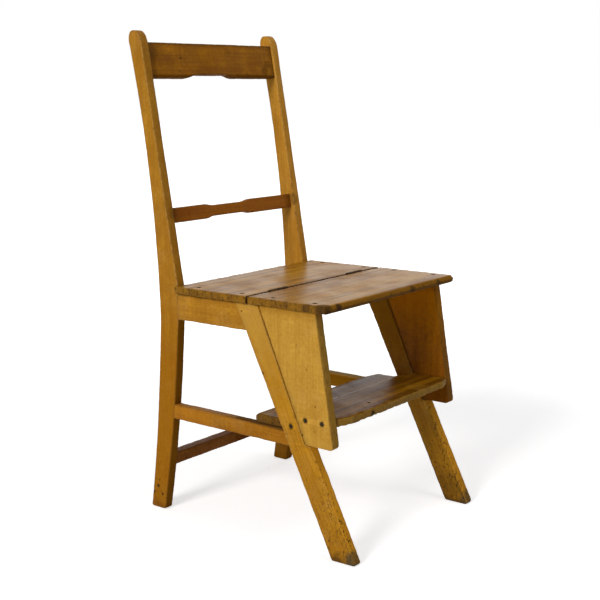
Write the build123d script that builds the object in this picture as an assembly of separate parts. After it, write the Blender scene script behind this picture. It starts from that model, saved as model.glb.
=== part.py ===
from build123d import *
import os

# Library step chair, in millimetres. +Z is up, the front of the chair faces -Y and +X is the viewer's right.
# While the chair is drawn, names ending in _y are depths from the front face of the rear posts, which is at
# zero at seat height. At the end every piece moves so that the middle of the footprint lies at the origin.

# Seat
seat_height = 450.0
seat_thickness = 14.0
seat_overhang = 8.5
rear_board_depth = 176.8
front_board_depth = 174.5
split_gap = 3.0
seat_nose_radius = 5.5
seat_corner_radius = 6.0
seat_edge_radius = 1.6

# Rear posts, outlined from the side
frame_half_width = 198.0
post_thickness = 20.0
post_waist_depth = 48.5
post_foot_depth = 38.0
post_foot_splay = 51.0
post_shin_height_share = 0.49
post_shin_depth = 43.5
post_shin_splay = 20.0
post_waist_drop = 62.0
post_rise = 471.0
post_lean = 80.0
post_top_depth = 32.5
post_back_bow_rise = 196.0
post_back_bow_depth = 32.0
post_top_radius = 13.0
post_edge_radius = 1.8

# Rails of the back
crest_drop = 20.5
crest_height = 66.5
crest_thickness = 18.0
crest_setback = 4.0
crest_arch_rise = 6.0
crest_arch_width = 84.0
crest_arch_shoulder = 26.0
crest_edge_radius = 1.2
back_rail_rise = 113.5
back_rail_height = 29.0
back_rail_thickness = 16.0
back_rail_setback = 9.0
back_rail_waist = 3.6
back_rail_waist_width = 88.0
back_rail_shoulder = 24.0
back_rail_edge_radius = 2.5
carving_offset = 13.0

# Rails under the seat
rail_height = 51.0
rail_thickness = 19.0
rail_reveal = 1.0
cross_rail_height = 38.0
cross_rail_thickness = 18.0
rear_rail_setback = 15.0
rail_edge_radius = 1.2

# Raked front legs, outlined from the side
leg_thickness = 20.0
leg_depth = 52.5
leg_rake_share = 0.4901
leg_seat_lap = 17.0
leg_rest_gap = 0.4
leg_notch_depth = 12.0
leg_edge_radius = 2.0
foot_radius = 5.0

# Stretchers
side_stretcher_drop = 218.0
side_stretcher_height = 28.5
side_stretcher_thickness = 19.0
rear_stretcher_top = 111.0
rear_stretcher_height = 23.5
rear_stretcher_thickness = 23.0
stretcher_edge_radius = 1.5

# Tenons
tenon_thickness = 9.0
tenon_length = 13.0
tenon_shoulder = 4.0

# Lower tread, which stays with the frame
tread_thickness = 17.0
tread_depth = 118.6
tread_back_overhang = 58.6
tread_ear = 15.0
tread_corner_width = 44.0
tread_corner_depth = 9.0
tread_back_radius = 8.0

# Cheeks and folding step, which swing with the front seat board
cheek_thickness = 19.0
cheek_drop = 238.7
cheek_nose_setback = 27.9
cheek_forward = 36.6
cheek_top_gap = 3.6
cheek_bottom_gap = 0.9
cheek_corner_radius = 10.0
cheek_heel_radius = 2.5
cheek_edge_radius = 1.6
step_thickness = 14.4
step_rest_gap = 0.4
step_depth = 102.0
step_nose = 11.0
step_corner_width = 30.0
step_corner_depth = 9.5
step_taper_width = 44.0
step_taper_depth = 19.0
step_edge_radius = 3.0

# Hinges, let into the meeting edges of the two seat boards
hinge_end_inset = 88.5
hinge_width = 50.0
hinge_axis_rise = 0.4
hinge_leaf_drop = 11.5
hinge_leaf_thickness = 1.2
hinge_leaf_gap = 0.3
knuckle_radius = 2.2
knuckle_clearance = 0.4
barrel_gap = 0.2
barrel_count = 3
pin_radius = 1.1
pin_clearance = 0.05
hinge_screw_count = 3
hinge_screw_spacing = 17.0
hinge_screw_length = 13.0
hinge_screw_radius = 1.0
hinge_screw_head_radius = 1.9
hinge_screw_head_height = 1.0

# Wood screws and pegs
screw_radius = 1.9
screw_head_radius = 3.9
screw_head_height = 2.6
screw_sink = 1.2
screw_slot_width = 0.9
screw_slot_depth = 0.9
screw_clearance = 0.05
seat_screw_length = 36.0
seat_screw_back_inset = 46.0
rear_screw_front_inset = 24.8
front_screw_nose_inset = 36.0
side_screw_length = 46.0
step_screw_front_inset = 18.0
step_screw_spacing = 36.5
tread_screw_back = 24.0
peg_radius = 1.8
peg_length = 16.0
peg_drop = 15.5
peg_inset = 9.0
overrun = 5.0

# Levels and depths that follow from the sizes
seat_underside = seat_height - seat_thickness
rear_board_front_y = -rear_board_depth
split_y = rear_board_front_y - split_gap / 2
front_board_back_y = rear_board_front_y - split_gap
seat_nose_y = front_board_back_y - front_board_depth
seat_half_width = frame_half_width + seat_overhang
rail_outer_x = frame_half_width - rail_reveal
rail_inner_x = rail_outer_x - rail_thickness
post_inner_x = frame_half_width - post_thickness
leg_inner_x = frame_half_width - leg_thickness
cheek_inner_x = frame_half_width - cheek_thickness
leg_top = seat_underside - leg_rest_gap
leg_top_front_y = split_y - leg_seat_lap
cheek_bottom = seat_underside - cheek_drop
side_stretcher_top = seat_underside - side_stretcher_drop
tread_top = side_stretcher_top + tread_thickness
step_underside = tread_top + step_rest_gap
step_top = step_underside + step_thickness
hinge_axis_z = seat_height + hinge_axis_rise
tread_middle_z = tread_top - tread_thickness / 2
step_middle_z = step_top - step_thickness / 2


def post_front_y(height):
    """Depth of a rear post's front face at a height above the seat."""
    return post_lean * (height - seat_height) / post_rise


def leg_front_y(height):
    """Depth of a raked leg's front face before it is notched."""
    return leg_top_front_y - leg_rake_share * (leg_top - height)


def leg_back_y(height):
    """Depth of a raked leg's back face."""
    return leg_front_y(height) + leg_depth


def notch_y(height):
    """Depth of the slanting seat that is cut in a leg's front for the cheek."""
    fall_share = (leg_top - height) / (leg_top - cheek_bottom)
    return leg_front_y(height) + leg_notch_depth * fall_share


def cheek_back_y(height):
    """Depth of a cheek's back edge, which stands clear of the leg's notch."""
    fall_share = (seat_underside - height) / cheek_drop
    return notch_y(height) - cheek_top_gap + (cheek_top_gap - cheek_bottom_gap) * fall_share


def cheek_front_y(height):
    """Depth of a cheek's front edge."""
    fall_share = (seat_underside - height) / cheek_drop
    return seat_nose_y + cheek_nose_setback - cheek_forward * fall_share


def side_plate(outline, inner_x, thickness):
    """Turn an outline of depth and height into a board that stands on the right side."""
    return Pos(inner_x, 0, 0) * extrude(Plane.YZ * make_face(outline), amount=thickness)


def block(low, high):
    """Box between two corners."""
    size = [top - bottom for bottom, top in zip(low, high)]
    middle = [(top + bottom) / 2 for bottom, top in zip(low, high)]
    return Pos(*middle) * Box(*size)


def to_left(piece):
    """Mirror image of a right-hand piece."""
    return mirror(piece, about=Plane.YZ)


def round_long_edges(piece, axis, radius):
    """Round the edges of a board that run along one axis."""
    return fillet(piece.edges().filter_by(axis), radius)


def round_foot(leg):
    """Round the front and back corners of a leg's foot, as wear does."""
    return fillet(leg.edges().filter_by(Axis.X).group_by(Axis.Z)[0], foot_radius)


def screw(length, radius, head_radius, head_height, slot_depth):
    """Countersunk screw that points down from the origin, with a slot across its head."""
    head = Pos(0, 0, -head_height / 2) * Cone(radius, head_radius, head_height)
    shank_length = length - head_height - head_radius
    shank = Pos(0, 0, -head_height - shank_length / 2) * Cylinder(radius, shank_length)
    point = Pos(0, 0, -length + head_radius / 2) * Cone(0, radius, head_radius)
    slot = Box(head_radius * 2, screw_slot_width, slot_depth * 2)
    return head + shank + point - slot


def screw_hole(length, radius, head_radius, head_height, sink):
    """Hole that clears a screw all round and lets its head sink below the surface."""
    gap = screw_clearance
    head = Pos(0, 0, -head_height / 2) * Cone(radius + gap, head_radius + gap, head_height)
    bore = Pos(0, 0, -(length + gap) / 2) * Cylinder(radius + gap, length + gap)
    well = Pos(0, 0, (sink + overrun) / 2) * Cylinder(head_radius + gap, sink + overrun)
    return head + bore + well


def wood_screw(length):
    """One of the chair's large screws."""
    return screw(length, screw_radius, screw_head_radius, screw_head_height, screw_slot_depth)


def wood_screw_hole(length):
    """Hole for one of the chair's large screws."""
    return screw_hole(length, screw_radius, screw_head_radius, screw_head_height, screw_sink)


def small_screw():
    """One of the hinge screws."""
    return screw(hinge_screw_length, hinge_screw_radius, hinge_screw_head_radius, hinge_screw_head_height,
                 hinge_screw_head_height / 2)


def small_screw_hole():
    """Hole for one of the hinge screws."""
    return screw_hole(hinge_screw_length, hinge_screw_radius, hinge_screw_head_radius,
                      hinge_screw_head_height, hinge_leaf_gap)


def rear_post_blank():
    """Right rear post with square edges: splayed below the seat, leaning back above it."""
    waist = seat_height - post_waist_drop
    shin = waist * post_shin_height_share
    top = seat_height + post_rise
    shoulder = top - post_top_radius
    bow = seat_height + post_back_bow_rise
    front_foot = (post_foot_splay, 0)
    front_waist = (0, waist)
    front_seat = (0, seat_height)
    front_top = (post_front_y(top), top)
    back_top = (post_front_y(top) + post_top_depth, top)
    back_shoulder = (post_front_y(shoulder) + post_top_depth, shoulder)
    back_bow = (post_front_y(bow) + post_back_bow_depth, bow)
    back_waist = (post_waist_depth, waist)
    back_foot = (post_foot_splay + post_foot_depth, 0)
    outline = [
        ThreePointArc(front_foot, (post_shin_splay, shin), front_waist),
        Line(front_waist, front_seat),
        Line(front_seat, front_top),
        Line(front_top, back_top),
        Line(back_top, back_shoulder),
        ThreePointArc(back_shoulder, back_bow, back_waist),
        ThreePointArc(back_waist, (post_shin_splay + post_shin_depth, shin), back_foot),
        Line(back_foot, front_foot),
    ]
    return side_plate(outline, post_inner_x, post_thickness)


def rear_post():
    """Right rear post with its rounded top and eased edges."""
    post = rear_post_blank()
    top_corners = post.edges().filter_by(Axis.X).group_by(Axis.Z)[-1]
    post = fillet(top_corners, post_top_radius)
    post = round_foot(post)
    rims = post.faces().filter_by(Axis.X).edges()
    return fillet(rims.filter_by(lambda edge: edge.center().Z > 0), post_edge_radius)


def post_slice(low, high):
    """The stretch of the right rear post between two heights."""
    reach = rear_board_depth
    return rear_post_blank() & block((0, -reach, low), (frame_half_width, reach, high))


def front_leg():
    """Right front leg: a raked board with a slanting notch that takes the back edge of the cheek."""
    outline = Polyline(
        (leg_front_y(0), 0),
        (leg_back_y(0), 0),
        (leg_back_y(leg_top), leg_top),
        (leg_front_y(leg_top), leg_top),
        (notch_y(cheek_bottom), cheek_bottom),
        (leg_front_y(cheek_bottom), cheek_bottom),
        close=True,
    )
    leg = round_foot(side_plate(outline, leg_inner_x, leg_thickness))
    rims = leg.faces().filter_by(Axis.X).edges()
    return fillet(rims.filter_by(lambda edge: edge.length > leg_depth * 2), leg_edge_radius)


def cheek():
    """Right cheek: the board that hangs from the front seat board and carries the folding step."""
    outline = Polyline(
        (cheek_back_y(seat_underside), seat_underside),
        (cheek_back_y(cheek_bottom), cheek_bottom),
        (cheek_front_y(cheek_bottom), cheek_bottom),
        (cheek_front_y(seat_underside), seat_underside),
        close=True,
    )
    board = side_plate(outline, cheek_inner_x, cheek_thickness)
    bottom_corners = board.edges().filter_by(Axis.X).group_by(Axis.Z)[0].sort_by(Axis.Y)
    board = fillet(bottom_corners[0], cheek_corner_radius)
    heel = board.edges().filter_by(Axis.X).group_by(Axis.Z)[0].sort_by(Axis.Y)[-1]
    board = fillet(heel, cheek_heel_radius)
    rims = board.faces().filter_by(Axis.X).edges()
    rims = rims.filter_by(lambda edge: edge.center().Z < seat_underside - cheek_edge_radius)
    return fillet(rims, cheek_edge_radius)


def rear_seat_board():
    """Fixed half of the seat, from the posts to the split."""
    board = block((-seat_half_width, rear_board_front_y, seat_underside), (seat_half_width, 0, seat_height))
    ends = board.edges().filter_by(Axis.Y)
    return fillet(ends, seat_edge_radius)


def front_seat_board():
    """Folding half of the seat, with a rounded front edge."""
    board = block((-seat_half_width, seat_nose_y, seat_underside),
                  (seat_half_width, front_board_back_y, seat_height))
    front_corners = board.edges().filter_by(Axis.Z).group_by(Axis.Y)[0]
    board = fillet(front_corners, seat_corner_radius)
    rims = board.faces().filter_by(Axis.Z).edges()
    nose = rims.filter_by(lambda edge: edge.center().Y < seat_nose_y + seat_corner_radius)
    board = fillet(nose, seat_nose_radius)
    return board


def carved_edge(level, rise, width, shoulder):
    """Lines of a rail's edge that steps away from its level along a stretch left of the middle."""
    half = post_inner_x
    left = -carving_offset - width / 2
    right = width / 2 - carving_offset
    return [
        Line((-half, level), (left - shoulder, level)),
        Spline([(left - shoulder, level), (left - shoulder / 2, level + rise / 2), (left, level + rise)],
               tangents=[(1, 0), (1, 0)]),
        Line((left, level + rise), (right, level + rise)),
        Spline([(right, level + rise), (right + shoulder / 2, level + rise / 2), (right + shoulder, level)],
               tangents=[(1, 0), (1, 0)]),
        Line((right + shoulder, level), (half, level)),
    ]


def crest_rail():
    """Top rail of the back, its lower edge raised near the middle with an eased step at each end."""
    bottom = seat_height + post_rise - crest_drop - crest_height
    half = post_inner_x
    outline = carved_edge(0, crest_arch_rise, crest_arch_width, crest_arch_shoulder) + [
        Line((half, 0), (half, crest_height)),
        Line((half, crest_height), (-half, crest_height)),
        Line((-half, crest_height), (-half, 0)),
    ]
    return leaning_rail(outline, bottom, crest_setback, crest_thickness, crest_edge_radius)


def back_rail():
    """Lower rail of the back, drawn in above and below near the middle."""
    bottom = seat_height + back_rail_rise
    top = back_rail_height
    half = post_inner_x
    outline = carved_edge(0, back_rail_waist, back_rail_waist_width, back_rail_shoulder)
    outline += carved_edge(top, -back_rail_waist, back_rail_waist_width, back_rail_shoulder)
    outline += [Line((half, 0), (half, top)), Line((-half, 0), (-half, top))]
    return leaning_rail(outline, bottom, back_rail_setback, back_rail_thickness, back_rail_edge_radius)


def leaning_rail(outline, bottom, setback, thickness, edge_radius):
    """Rail between the posts that leans back as they do, set behind their front faces, with its tenons."""
    lean = Vector(0, post_lean, post_rise).normalized()
    face_y = post_front_y(bottom) + setback
    plane = Plane(origin=(0, face_y, bottom), x_dir=(1, 0, 0), z_dir=Vector(1, 0, 0).cross(lean))
    face = make_face(outline)
    height = face.bounding_box().size.Y
    rail = extrude(face, amount=-thickness)
    rims = rail.faces().filter_by(Axis.Z).edges()
    long_rims = rims.filter_by(lambda edge: abs(edge.center().X) < post_inner_x - edge_radius)
    rail = fillet(long_rims, edge_radius)
    tongue = Box((post_inner_x + tenon_length) * 2, height - tenon_shoulder * 2, tenon_thickness)
    return plane * (rail + Pos(0, height / 2, -thickness / 2) * tongue)


def cross_rail(front_y, top, height, thickness, edge_radius):
    """Upright rail between the two sides of the chair, with its tenons."""
    half = post_inner_x
    rail = block((-half, front_y, top - height), (half, front_y + thickness, top))
    rail = round_long_edges(rail, Axis.X, edge_radius)
    reach = half + tenon_length
    tenon_front_y = front_y + (thickness - tenon_thickness) / 2
    tongue = block((-reach, tenon_front_y, top - height + tenon_shoulder),
                   (reach, tenon_front_y + tenon_thickness, top - tenon_shoulder))
    return rail + tongue


def side_rail(top, height, thickness, edge_radius):
    """Right-hand rail from a rear post to a raked leg, with a tenon at each end."""
    bottom = top - height
    inner_x = rail_outer_x - thickness
    outline = Polyline(
        (post_waist_depth, top),
        (post_waist_depth, bottom),
        (leg_back_y(bottom), bottom),
        (leg_back_y(top), top),
        close=True,
    )
    blank = side_plate(outline, inner_x, thickness)
    bar = (blank - rear_post_blank()).solids().sort_by(Axis.Y)[0]
    bar = fillet(bar.edges().filter_by(Axis.Y), edge_radius)
    high = top - tenon_shoulder
    low = bottom + tenon_shoulder
    post_end_y = post_slice(low, high).bounding_box().min.Y + tenon_length
    tongue = Polyline(
        (post_end_y, high),
        (post_end_y, low),
        (leg_back_y(low) - tenon_length, low),
        (leg_back_y(high) - tenon_length, high),
        close=True,
    )
    tenon_x = inner_x + (thickness - tenon_thickness) / 2
    return bar + side_plate(tongue, tenon_x, tenon_thickness)


def lower_tread():
    """Fixed tread between the raked legs, with an ear behind the left leg and its right corner cut away."""
    bottom = side_stretcher_top
    back_y = leg_back_y(tread_top) + tread_back_overhang
    front_y = back_y - tread_depth
    board = block((-leg_inner_x, front_y, bottom), (leg_inner_x, back_y, tread_top))
    ear_outline = Polyline(
        (back_y, bottom),
        (back_y, tread_top),
        (leg_back_y(tread_top), tread_top),
        (leg_back_y(bottom), bottom),
        close=True,
    )
    board = board + to_left(side_plate(ear_outline, leg_inner_x, tread_ear))
    end_x = leg_inner_x
    corner = Polyline(
        (end_x - tread_corner_width, back_y),
        (end_x, back_y - tread_corner_depth),
        (end_x + overrun, back_y - tread_corner_depth),
        (end_x + overrun, back_y + overrun),
        (end_x - tread_corner_width, back_y + overrun),
        close=True,
    )
    wedge = Pos(0, 0, bottom - overrun) * extrude(make_face(corner), amount=tread_thickness + overrun * 2)
    board = board - wedge
    rims = board.faces().filter_by(Axis.Z).edges()
    back_rims = rims.filter_by(lambda edge: edge.center().Y > back_y - tread_corner_depth)
    return fillet(back_rims, tread_back_radius)


def folding_step():
    """Step between the cheeks, its back corners tapered to pass between the raked legs."""
    front_y = cheek_front_y(step_middle_z) - step_nose
    back_y = front_y + step_depth
    half = cheek_inner_x
    right = [
        (half - step_taper_width, back_y),
        (half, back_y - step_taper_depth),
        (half, front_y + step_corner_depth),
        (half - step_corner_width, front_y),
    ]
    left = [(-across, depth) for across, depth in reversed(right)]
    outline = Polyline(*right, *left, close=True)
    board = Pos(0, 0, step_underside) * extrude(make_face(outline), amount=step_thickness)
    rims = board.faces().filter_by(Axis.Z).edges()
    front_rims = rims.filter_by(lambda edge: edge.center().Y < front_y + step_corner_depth)
    return fillet(front_rims, step_edge_radius)


def barrel_span(index):
    """Start and end of a hinge barrel along the hinge, measured from the hinge's left end."""
    pitch = hinge_width / barrel_count
    return index * pitch + barrel_gap / 2, (index + 1) * pitch - barrel_gap / 2


def hinge_leaf(barrels):
    """Leaf on the rear side of the split at the middle of the chair, with the barrels given by number."""
    start = -hinge_width / 2
    near_y = split_y + hinge_leaf_gap
    far_y = near_y + hinge_leaf_thickness
    plate_top = hinge_axis_z - knuckle_radius - hinge_leaf_gap
    leaf = block((start, near_y, hinge_axis_z - hinge_leaf_drop), (-start, far_y, plate_top))
    for index in barrels:
        low, high = barrel_span(index)
        neck = block((start + low, near_y, plate_top), (start + high, far_y, hinge_axis_z))
        barrel = Rot(0, 90, 0) * Cylinder(knuckle_radius, high - low)
        leaf = leaf + neck + Pos(start + (low + high) / 2, split_y, hinge_axis_z) * barrel
    bore = Rot(0, 90, 0) * Cylinder(pin_radius + pin_clearance, hinge_width + overrun)
    leaf = leaf - Pos(0, split_y, hinge_axis_z) * bore
    return cut(leaf, [place * small_screw_hole() for place in hinge_screw_places()])


def hinge_screw_places():
    """Places of the screws of a hinge leaf at the middle of the chair, pointing back."""
    height = hinge_axis_z - (hinge_leaf_drop + knuckle_radius) / 2
    first = -(hinge_screw_count - 1) / 2
    return [Pos((first + index) * hinge_screw_spacing, split_y + hinge_leaf_gap, height) * Rot(90, 0, 0)
            for index in range(hinge_screw_count)]


def to_front(piece):
    """Mirror image of a hinge piece about the middle of the split."""
    return mirror(piece, about=Plane.XZ.offset(-split_y))


def at_hinges(piece):
    """Copies of a hinge piece at the left and the right hinge."""
    return [Pos(side * (seat_half_width - hinge_end_inset), 0, 0) * piece for side in (-1, 1)]


def seat_screw_places(first_y, last_y, across):
    """Places of four screws that go down through a seat board."""
    height = seat_height - screw_sink
    return [Pos(side * across, depth, height) for side in (-1, 1) for depth in (first_y, last_y)]


def side_screw_place(depth, height):
    """Place of a screw that goes in through the right side of the chair."""
    return Pos(frame_half_width - screw_sink, depth, height) * Rot(0, 90, 0)


def both_sides(pieces):
    """Right-hand pieces and their mirror images."""
    return pieces + [to_left(piece) for piece in pieces]


def cut(piece, tools):
    """Piece with each of a list of tools cut from it."""
    for tool in tools:
        piece = piece - tool
    return piece


# Wood screws and the holes that they lie in
rear_places = seat_screw_places(-seat_screw_back_inset, rear_board_front_y + rear_screw_front_inset,
                                (rail_outer_x + rail_inner_x) / 2)
front_places = seat_screw_places(front_board_back_y - seat_screw_back_inset,
                                 seat_nose_y + front_screw_nose_inset,
                                 frame_half_width - cheek_thickness / 2)
tread_places = [side_screw_place(leg_back_y(tread_middle_z) - tread_screw_back, tread_middle_z)]
step_places = [side_screw_place(cheek_front_y(step_middle_z) + inset, step_middle_z)
               for inset in (step_screw_front_inset, step_screw_front_inset + step_screw_spacing)]
rear_screws = [place * wood_screw(seat_screw_length) for place in rear_places]
rear_holes = [place * wood_screw_hole(seat_screw_length) for place in rear_places]
front_screws = [place * wood_screw(seat_screw_length) for place in front_places]
front_holes = [place * wood_screw_hole(seat_screw_length) for place in front_places]
tread_screws = both_sides([place * wood_screw(side_screw_length) for place in tread_places])
tread_holes = both_sides([place * wood_screw_hole(side_screw_length) for place in tread_places])
step_screws = both_sides([place * wood_screw(side_screw_length) for place in step_places])
step_holes = both_sides([place * wood_screw_hole(side_screw_length) for place in step_places])

# Pegs that lock the seat rails' tenons in the raked legs
peg_z = leg_top - peg_drop
peg_place = Pos(frame_half_width - peg_length / 2, leg_back_y(peg_z) - peg_inset, peg_z) * Rot(0, 90, 0)
pegs = both_sides([peg_place * Cylinder(peg_radius, peg_length)])

# Hinges
fixed_leaf = hinge_leaf([0, 2])
moving_leaf = to_front(hinge_leaf([1]))
hinge_pin = Pos(0, split_y, hinge_axis_z) * Rot(0, 90, 0) * Cylinder(pin_radius, hinge_width)
knuckle_room = Cylinder(knuckle_radius + knuckle_clearance, hinge_width + knuckle_clearance * 2)
knuckle_room = at_hinges(Pos(0, split_y, hinge_axis_z) * Rot(0, 90, 0) * knuckle_room)
fixed_screws = [copy for place in hinge_screw_places() for copy in at_hinges(place * small_screw())]
fixed_holes = [copy for place in hinge_screw_places() for copy in at_hinges(place * small_screw_hole())]
moving_screws = [to_front(solid) for solid in fixed_screws]
moving_holes = [to_front(solid) for solid in fixed_holes]

# Frame
crest = crest_rail()
lower_back = back_rail()
seat_rail = cut(side_rail(seat_underside, rail_height, rail_thickness, rail_edge_radius), rear_holes + pegs)
stretcher = side_rail(side_stretcher_top, side_stretcher_height, side_stretcher_thickness,
                      stretcher_edge_radius)
rear_rail = cross_rail(rear_rail_setback, seat_underside, cross_rail_height, cross_rail_thickness,
                       rail_edge_radius)
front_rail_middle_y = (leg_front_y(leg_top) + leg_back_y(leg_top - cross_rail_height)) / 2
front_rail = cut(cross_rail(front_rail_middle_y - cross_rail_thickness / 2, leg_top, cross_rail_height,
                            cross_rail_thickness, rail_edge_radius), rear_holes)
post_middle_y = post_slice(rear_stretcher_top - rear_stretcher_height, rear_stretcher_top).center().Y
rear_stretcher = cross_rail(post_middle_y - rear_stretcher_thickness / 2, rear_stretcher_top,
                            rear_stretcher_height, rear_stretcher_thickness, stretcher_edge_radius)
tread = cut(lower_tread(), tread_holes)
right_post = cut(rear_post(), [crest, lower_back, seat_rail, stretcher, rear_rail, rear_stretcher])
right_leg = cut(front_leg(), [seat_rail, stretcher, front_rail] + rear_holes + tread_holes + pegs)
rear_board = cut(rear_seat_board(), rear_holes + knuckle_room + fixed_holes)

# Folding flap
front_board = cut(front_seat_board(), front_holes + knuckle_room + moving_holes)
right_cheek = cut(cheek(), front_holes + step_holes)
step = cut(folding_step(), step_holes)

nodes = {
    "right_rear_post": right_post,
    "left_rear_post": to_left(right_post),
    "crest_rail": crest,
    "back_rail": lower_back,
    "right_seat_rail": seat_rail,
    "left_seat_rail": to_left(seat_rail),
    "rear_seat_rail": rear_rail,
    "front_seat_rail": front_rail,
    "right_front_leg": right_leg,
    "left_front_leg": to_left(right_leg),
    "right_side_stretcher": stretcher,
    "left_side_stretcher": to_left(stretcher),
    "rear_stretcher": rear_stretcher,
    "lower_tread": tread,
    "rear_seat_board": rear_board,
    "rear_seat_screws": rear_screws,
    "tread_screws": tread_screws,
    "seat_rail_pegs": pegs,
    "left_hinge_fixed_leaf": at_hinges(fixed_leaf)[0],
    "right_hinge_fixed_leaf": at_hinges(fixed_leaf)[1],
    "left_hinge_pin": at_hinges(hinge_pin)[0],
    "right_hinge_pin": at_hinges(hinge_pin)[1],
    "hinge_fixed_screws": fixed_screws,
    "front_seat_board": front_board,
    "right_cheek": right_cheek,
    "left_cheek": to_left(right_cheek),
    "folding_step": step,
    "front_seat_screws": front_screws,
    "step_screws": step_screws,
    "left_hinge_moving_leaf": at_hinges(moving_leaf)[0],
    "right_hinge_moving_leaf": at_hinges(moving_leaf)[1],
    "hinge_moving_screws": moving_screws,
}


def as_compound(pieces):
    """One compound of a node's solids."""
    pieces = pieces if isinstance(pieces, list) else [pieces]
    return Compound(children=[solid for piece in pieces for solid in piece.solids()])


os.makedirs("parts", exist_ok=True)
shapes = {name: as_compound(pieces) for name, pieces in nodes.items()}
outer_pieces = [shapes["right_front_leg"], shapes["right_rear_post"]]
front_y = min(shape.bounding_box().min.Y for shape in outer_pieces)
back_y = max(shape.bounding_box().max.Y for shape in outer_pieces)
to_middle = Pos(0, -(front_y + back_y) / 2, 0)
for name, shape in shapes.items():
    export_step(to_middle * shape, f"parts/{name}.step")
print("hinge axis y", split_y - (front_y + back_y) / 2, "z", hinge_axis_z, "shift", -(front_y + back_y) / 2)
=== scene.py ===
"""Looks of the library step chair: worn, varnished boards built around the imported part."""

import logging
import math
from collections.abc import Callable, Iterable, Iterator
from contextlib import contextmanager
from dataclasses import dataclass
from enum import Enum
from typing import Any

import bmesh
import bpy
from mathutils import Matrix, Vector
from mathutils.kdtree import KDTree

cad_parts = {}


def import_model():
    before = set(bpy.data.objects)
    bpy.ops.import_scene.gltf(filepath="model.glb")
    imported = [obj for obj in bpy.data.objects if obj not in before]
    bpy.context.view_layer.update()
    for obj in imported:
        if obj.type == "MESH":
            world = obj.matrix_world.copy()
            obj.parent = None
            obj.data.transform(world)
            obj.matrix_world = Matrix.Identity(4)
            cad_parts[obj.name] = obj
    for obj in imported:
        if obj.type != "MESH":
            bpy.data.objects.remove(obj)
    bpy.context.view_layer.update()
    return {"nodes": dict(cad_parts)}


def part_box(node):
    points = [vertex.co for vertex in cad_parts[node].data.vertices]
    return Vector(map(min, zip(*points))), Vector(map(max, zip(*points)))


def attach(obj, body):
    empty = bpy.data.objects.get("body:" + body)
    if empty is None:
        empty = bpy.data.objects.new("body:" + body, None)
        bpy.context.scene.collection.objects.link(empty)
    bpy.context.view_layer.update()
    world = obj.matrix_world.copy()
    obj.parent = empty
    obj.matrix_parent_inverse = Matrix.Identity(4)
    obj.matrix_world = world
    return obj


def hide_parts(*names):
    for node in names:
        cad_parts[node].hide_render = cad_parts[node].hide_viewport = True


Piece = bpy.types.Object
Socket = bpy.types.NodeSocket
Tree = bpy.types.NodeTree
Colour = tuple[float, float, float, float]
Place = tuple[float, float, float]
Value = Socket | float | Colour | Place | Vector | None

log = logging.getLogger("step_chair")
MM = 0.001
SIDES = (-1, 1)
LEFT, RIGHT = (-1, 0, 0), (1, 0, 0)
AHEAD, BEHIND = (0, -1, 0), (0, 1, 0)
UP, DOWN = (0, 0, 1), (0, 0, -1)
KNOT = (0.022, 0.012, 0.006, 1)
SOIL = (0.06, 0.028, 0.008, 1)
# Painted shade: near-black colour on the seat halves' edges, in the gap between them.
SPLIT_PAINTED_SHADE = (0.03, 0.015, 0.006, 1)
PORE_SHARE = 0.5
DOT_SHARE = 0.75
AGED_SHARE = 0.6
CLOUD_ROUGHNESS = 0.16
BARE_ROUGHNESS = 0.15
SOIL_ROUGHNESS = 0.35
METAL_SPECULAR = 0.15
PATCH_ROUGHNESS = 0.25
WELL_RADIUS = 3.95 * MM
WELL_DEPTH = 4.5 * MM
CREASE_ANGLE = math.radians(32)


class Axis(Enum):
    """Direction that a board is drawn along."""

    X = Vector((1, 0, 0))
    Y = Vector((0, 1, 0))
    Z = Vector((0, 0, 1))

    @property
    def turn(self) -> Place:
        """Turn that brings what stands along Z to this direction."""
        return {Axis.X: (0, math.pi / 2, 0), Axis.Y: (-math.pi / 2, 0, 0), Axis.Z: (0, 0, 0)}[self]


@dataclass(frozen=True)
class Station:
    """Cross-section of a board: its lowest and highest corner at one place along the board, in metres."""

    low: Vector
    high: Vector

    @property
    def middle(self) -> Vector:
        """Middle of the section."""
        return (self.low + self.high) / 2

    @property
    def size(self) -> Vector:
        """Width of the section each way."""
        return self.high - self.low


@dataclass(frozen=True)
class Wear:
    """How far a board's edges are rounded, rubbed and nicked, in metres."""

    edge_radius: float = 1.8 * MM
    border: float = 4.0 * MM
    rub_depth: float = 0.6 * MM
    rub_size: float = 38.0 * MM
    nick_depth: float = 0.45 * MM
    nick_size: float = 8.0 * MM
    sharpness: float = math.radians(28)


def deselect_all() -> None:
    """Leave edit mode and deselect every object."""
    if bpy.context.object and bpy.context.object.mode != "OBJECT":
        bpy.ops.object.mode_set(mode="OBJECT")
    bpy.ops.object.select_all(action="DESELECT")


def make_active(piece: Piece) -> None:
    """Make one object the only selected one."""
    deselect_all()
    piece.select_set(True)
    bpy.context.view_layer.objects.active = piece


@contextmanager
def edit_mode(piece: Piece) -> Iterator[None]:
    """Open one object in edit mode with all of it selected, and close it afterwards.

    Args:
        piece: Object to work on.
    """
    make_active(piece)
    bpy.ops.object.mode_set(mode="EDIT")
    bpy.ops.mesh.select_all(action="SELECT")
    yield
    bpy.ops.object.mode_set(mode="OBJECT")


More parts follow.
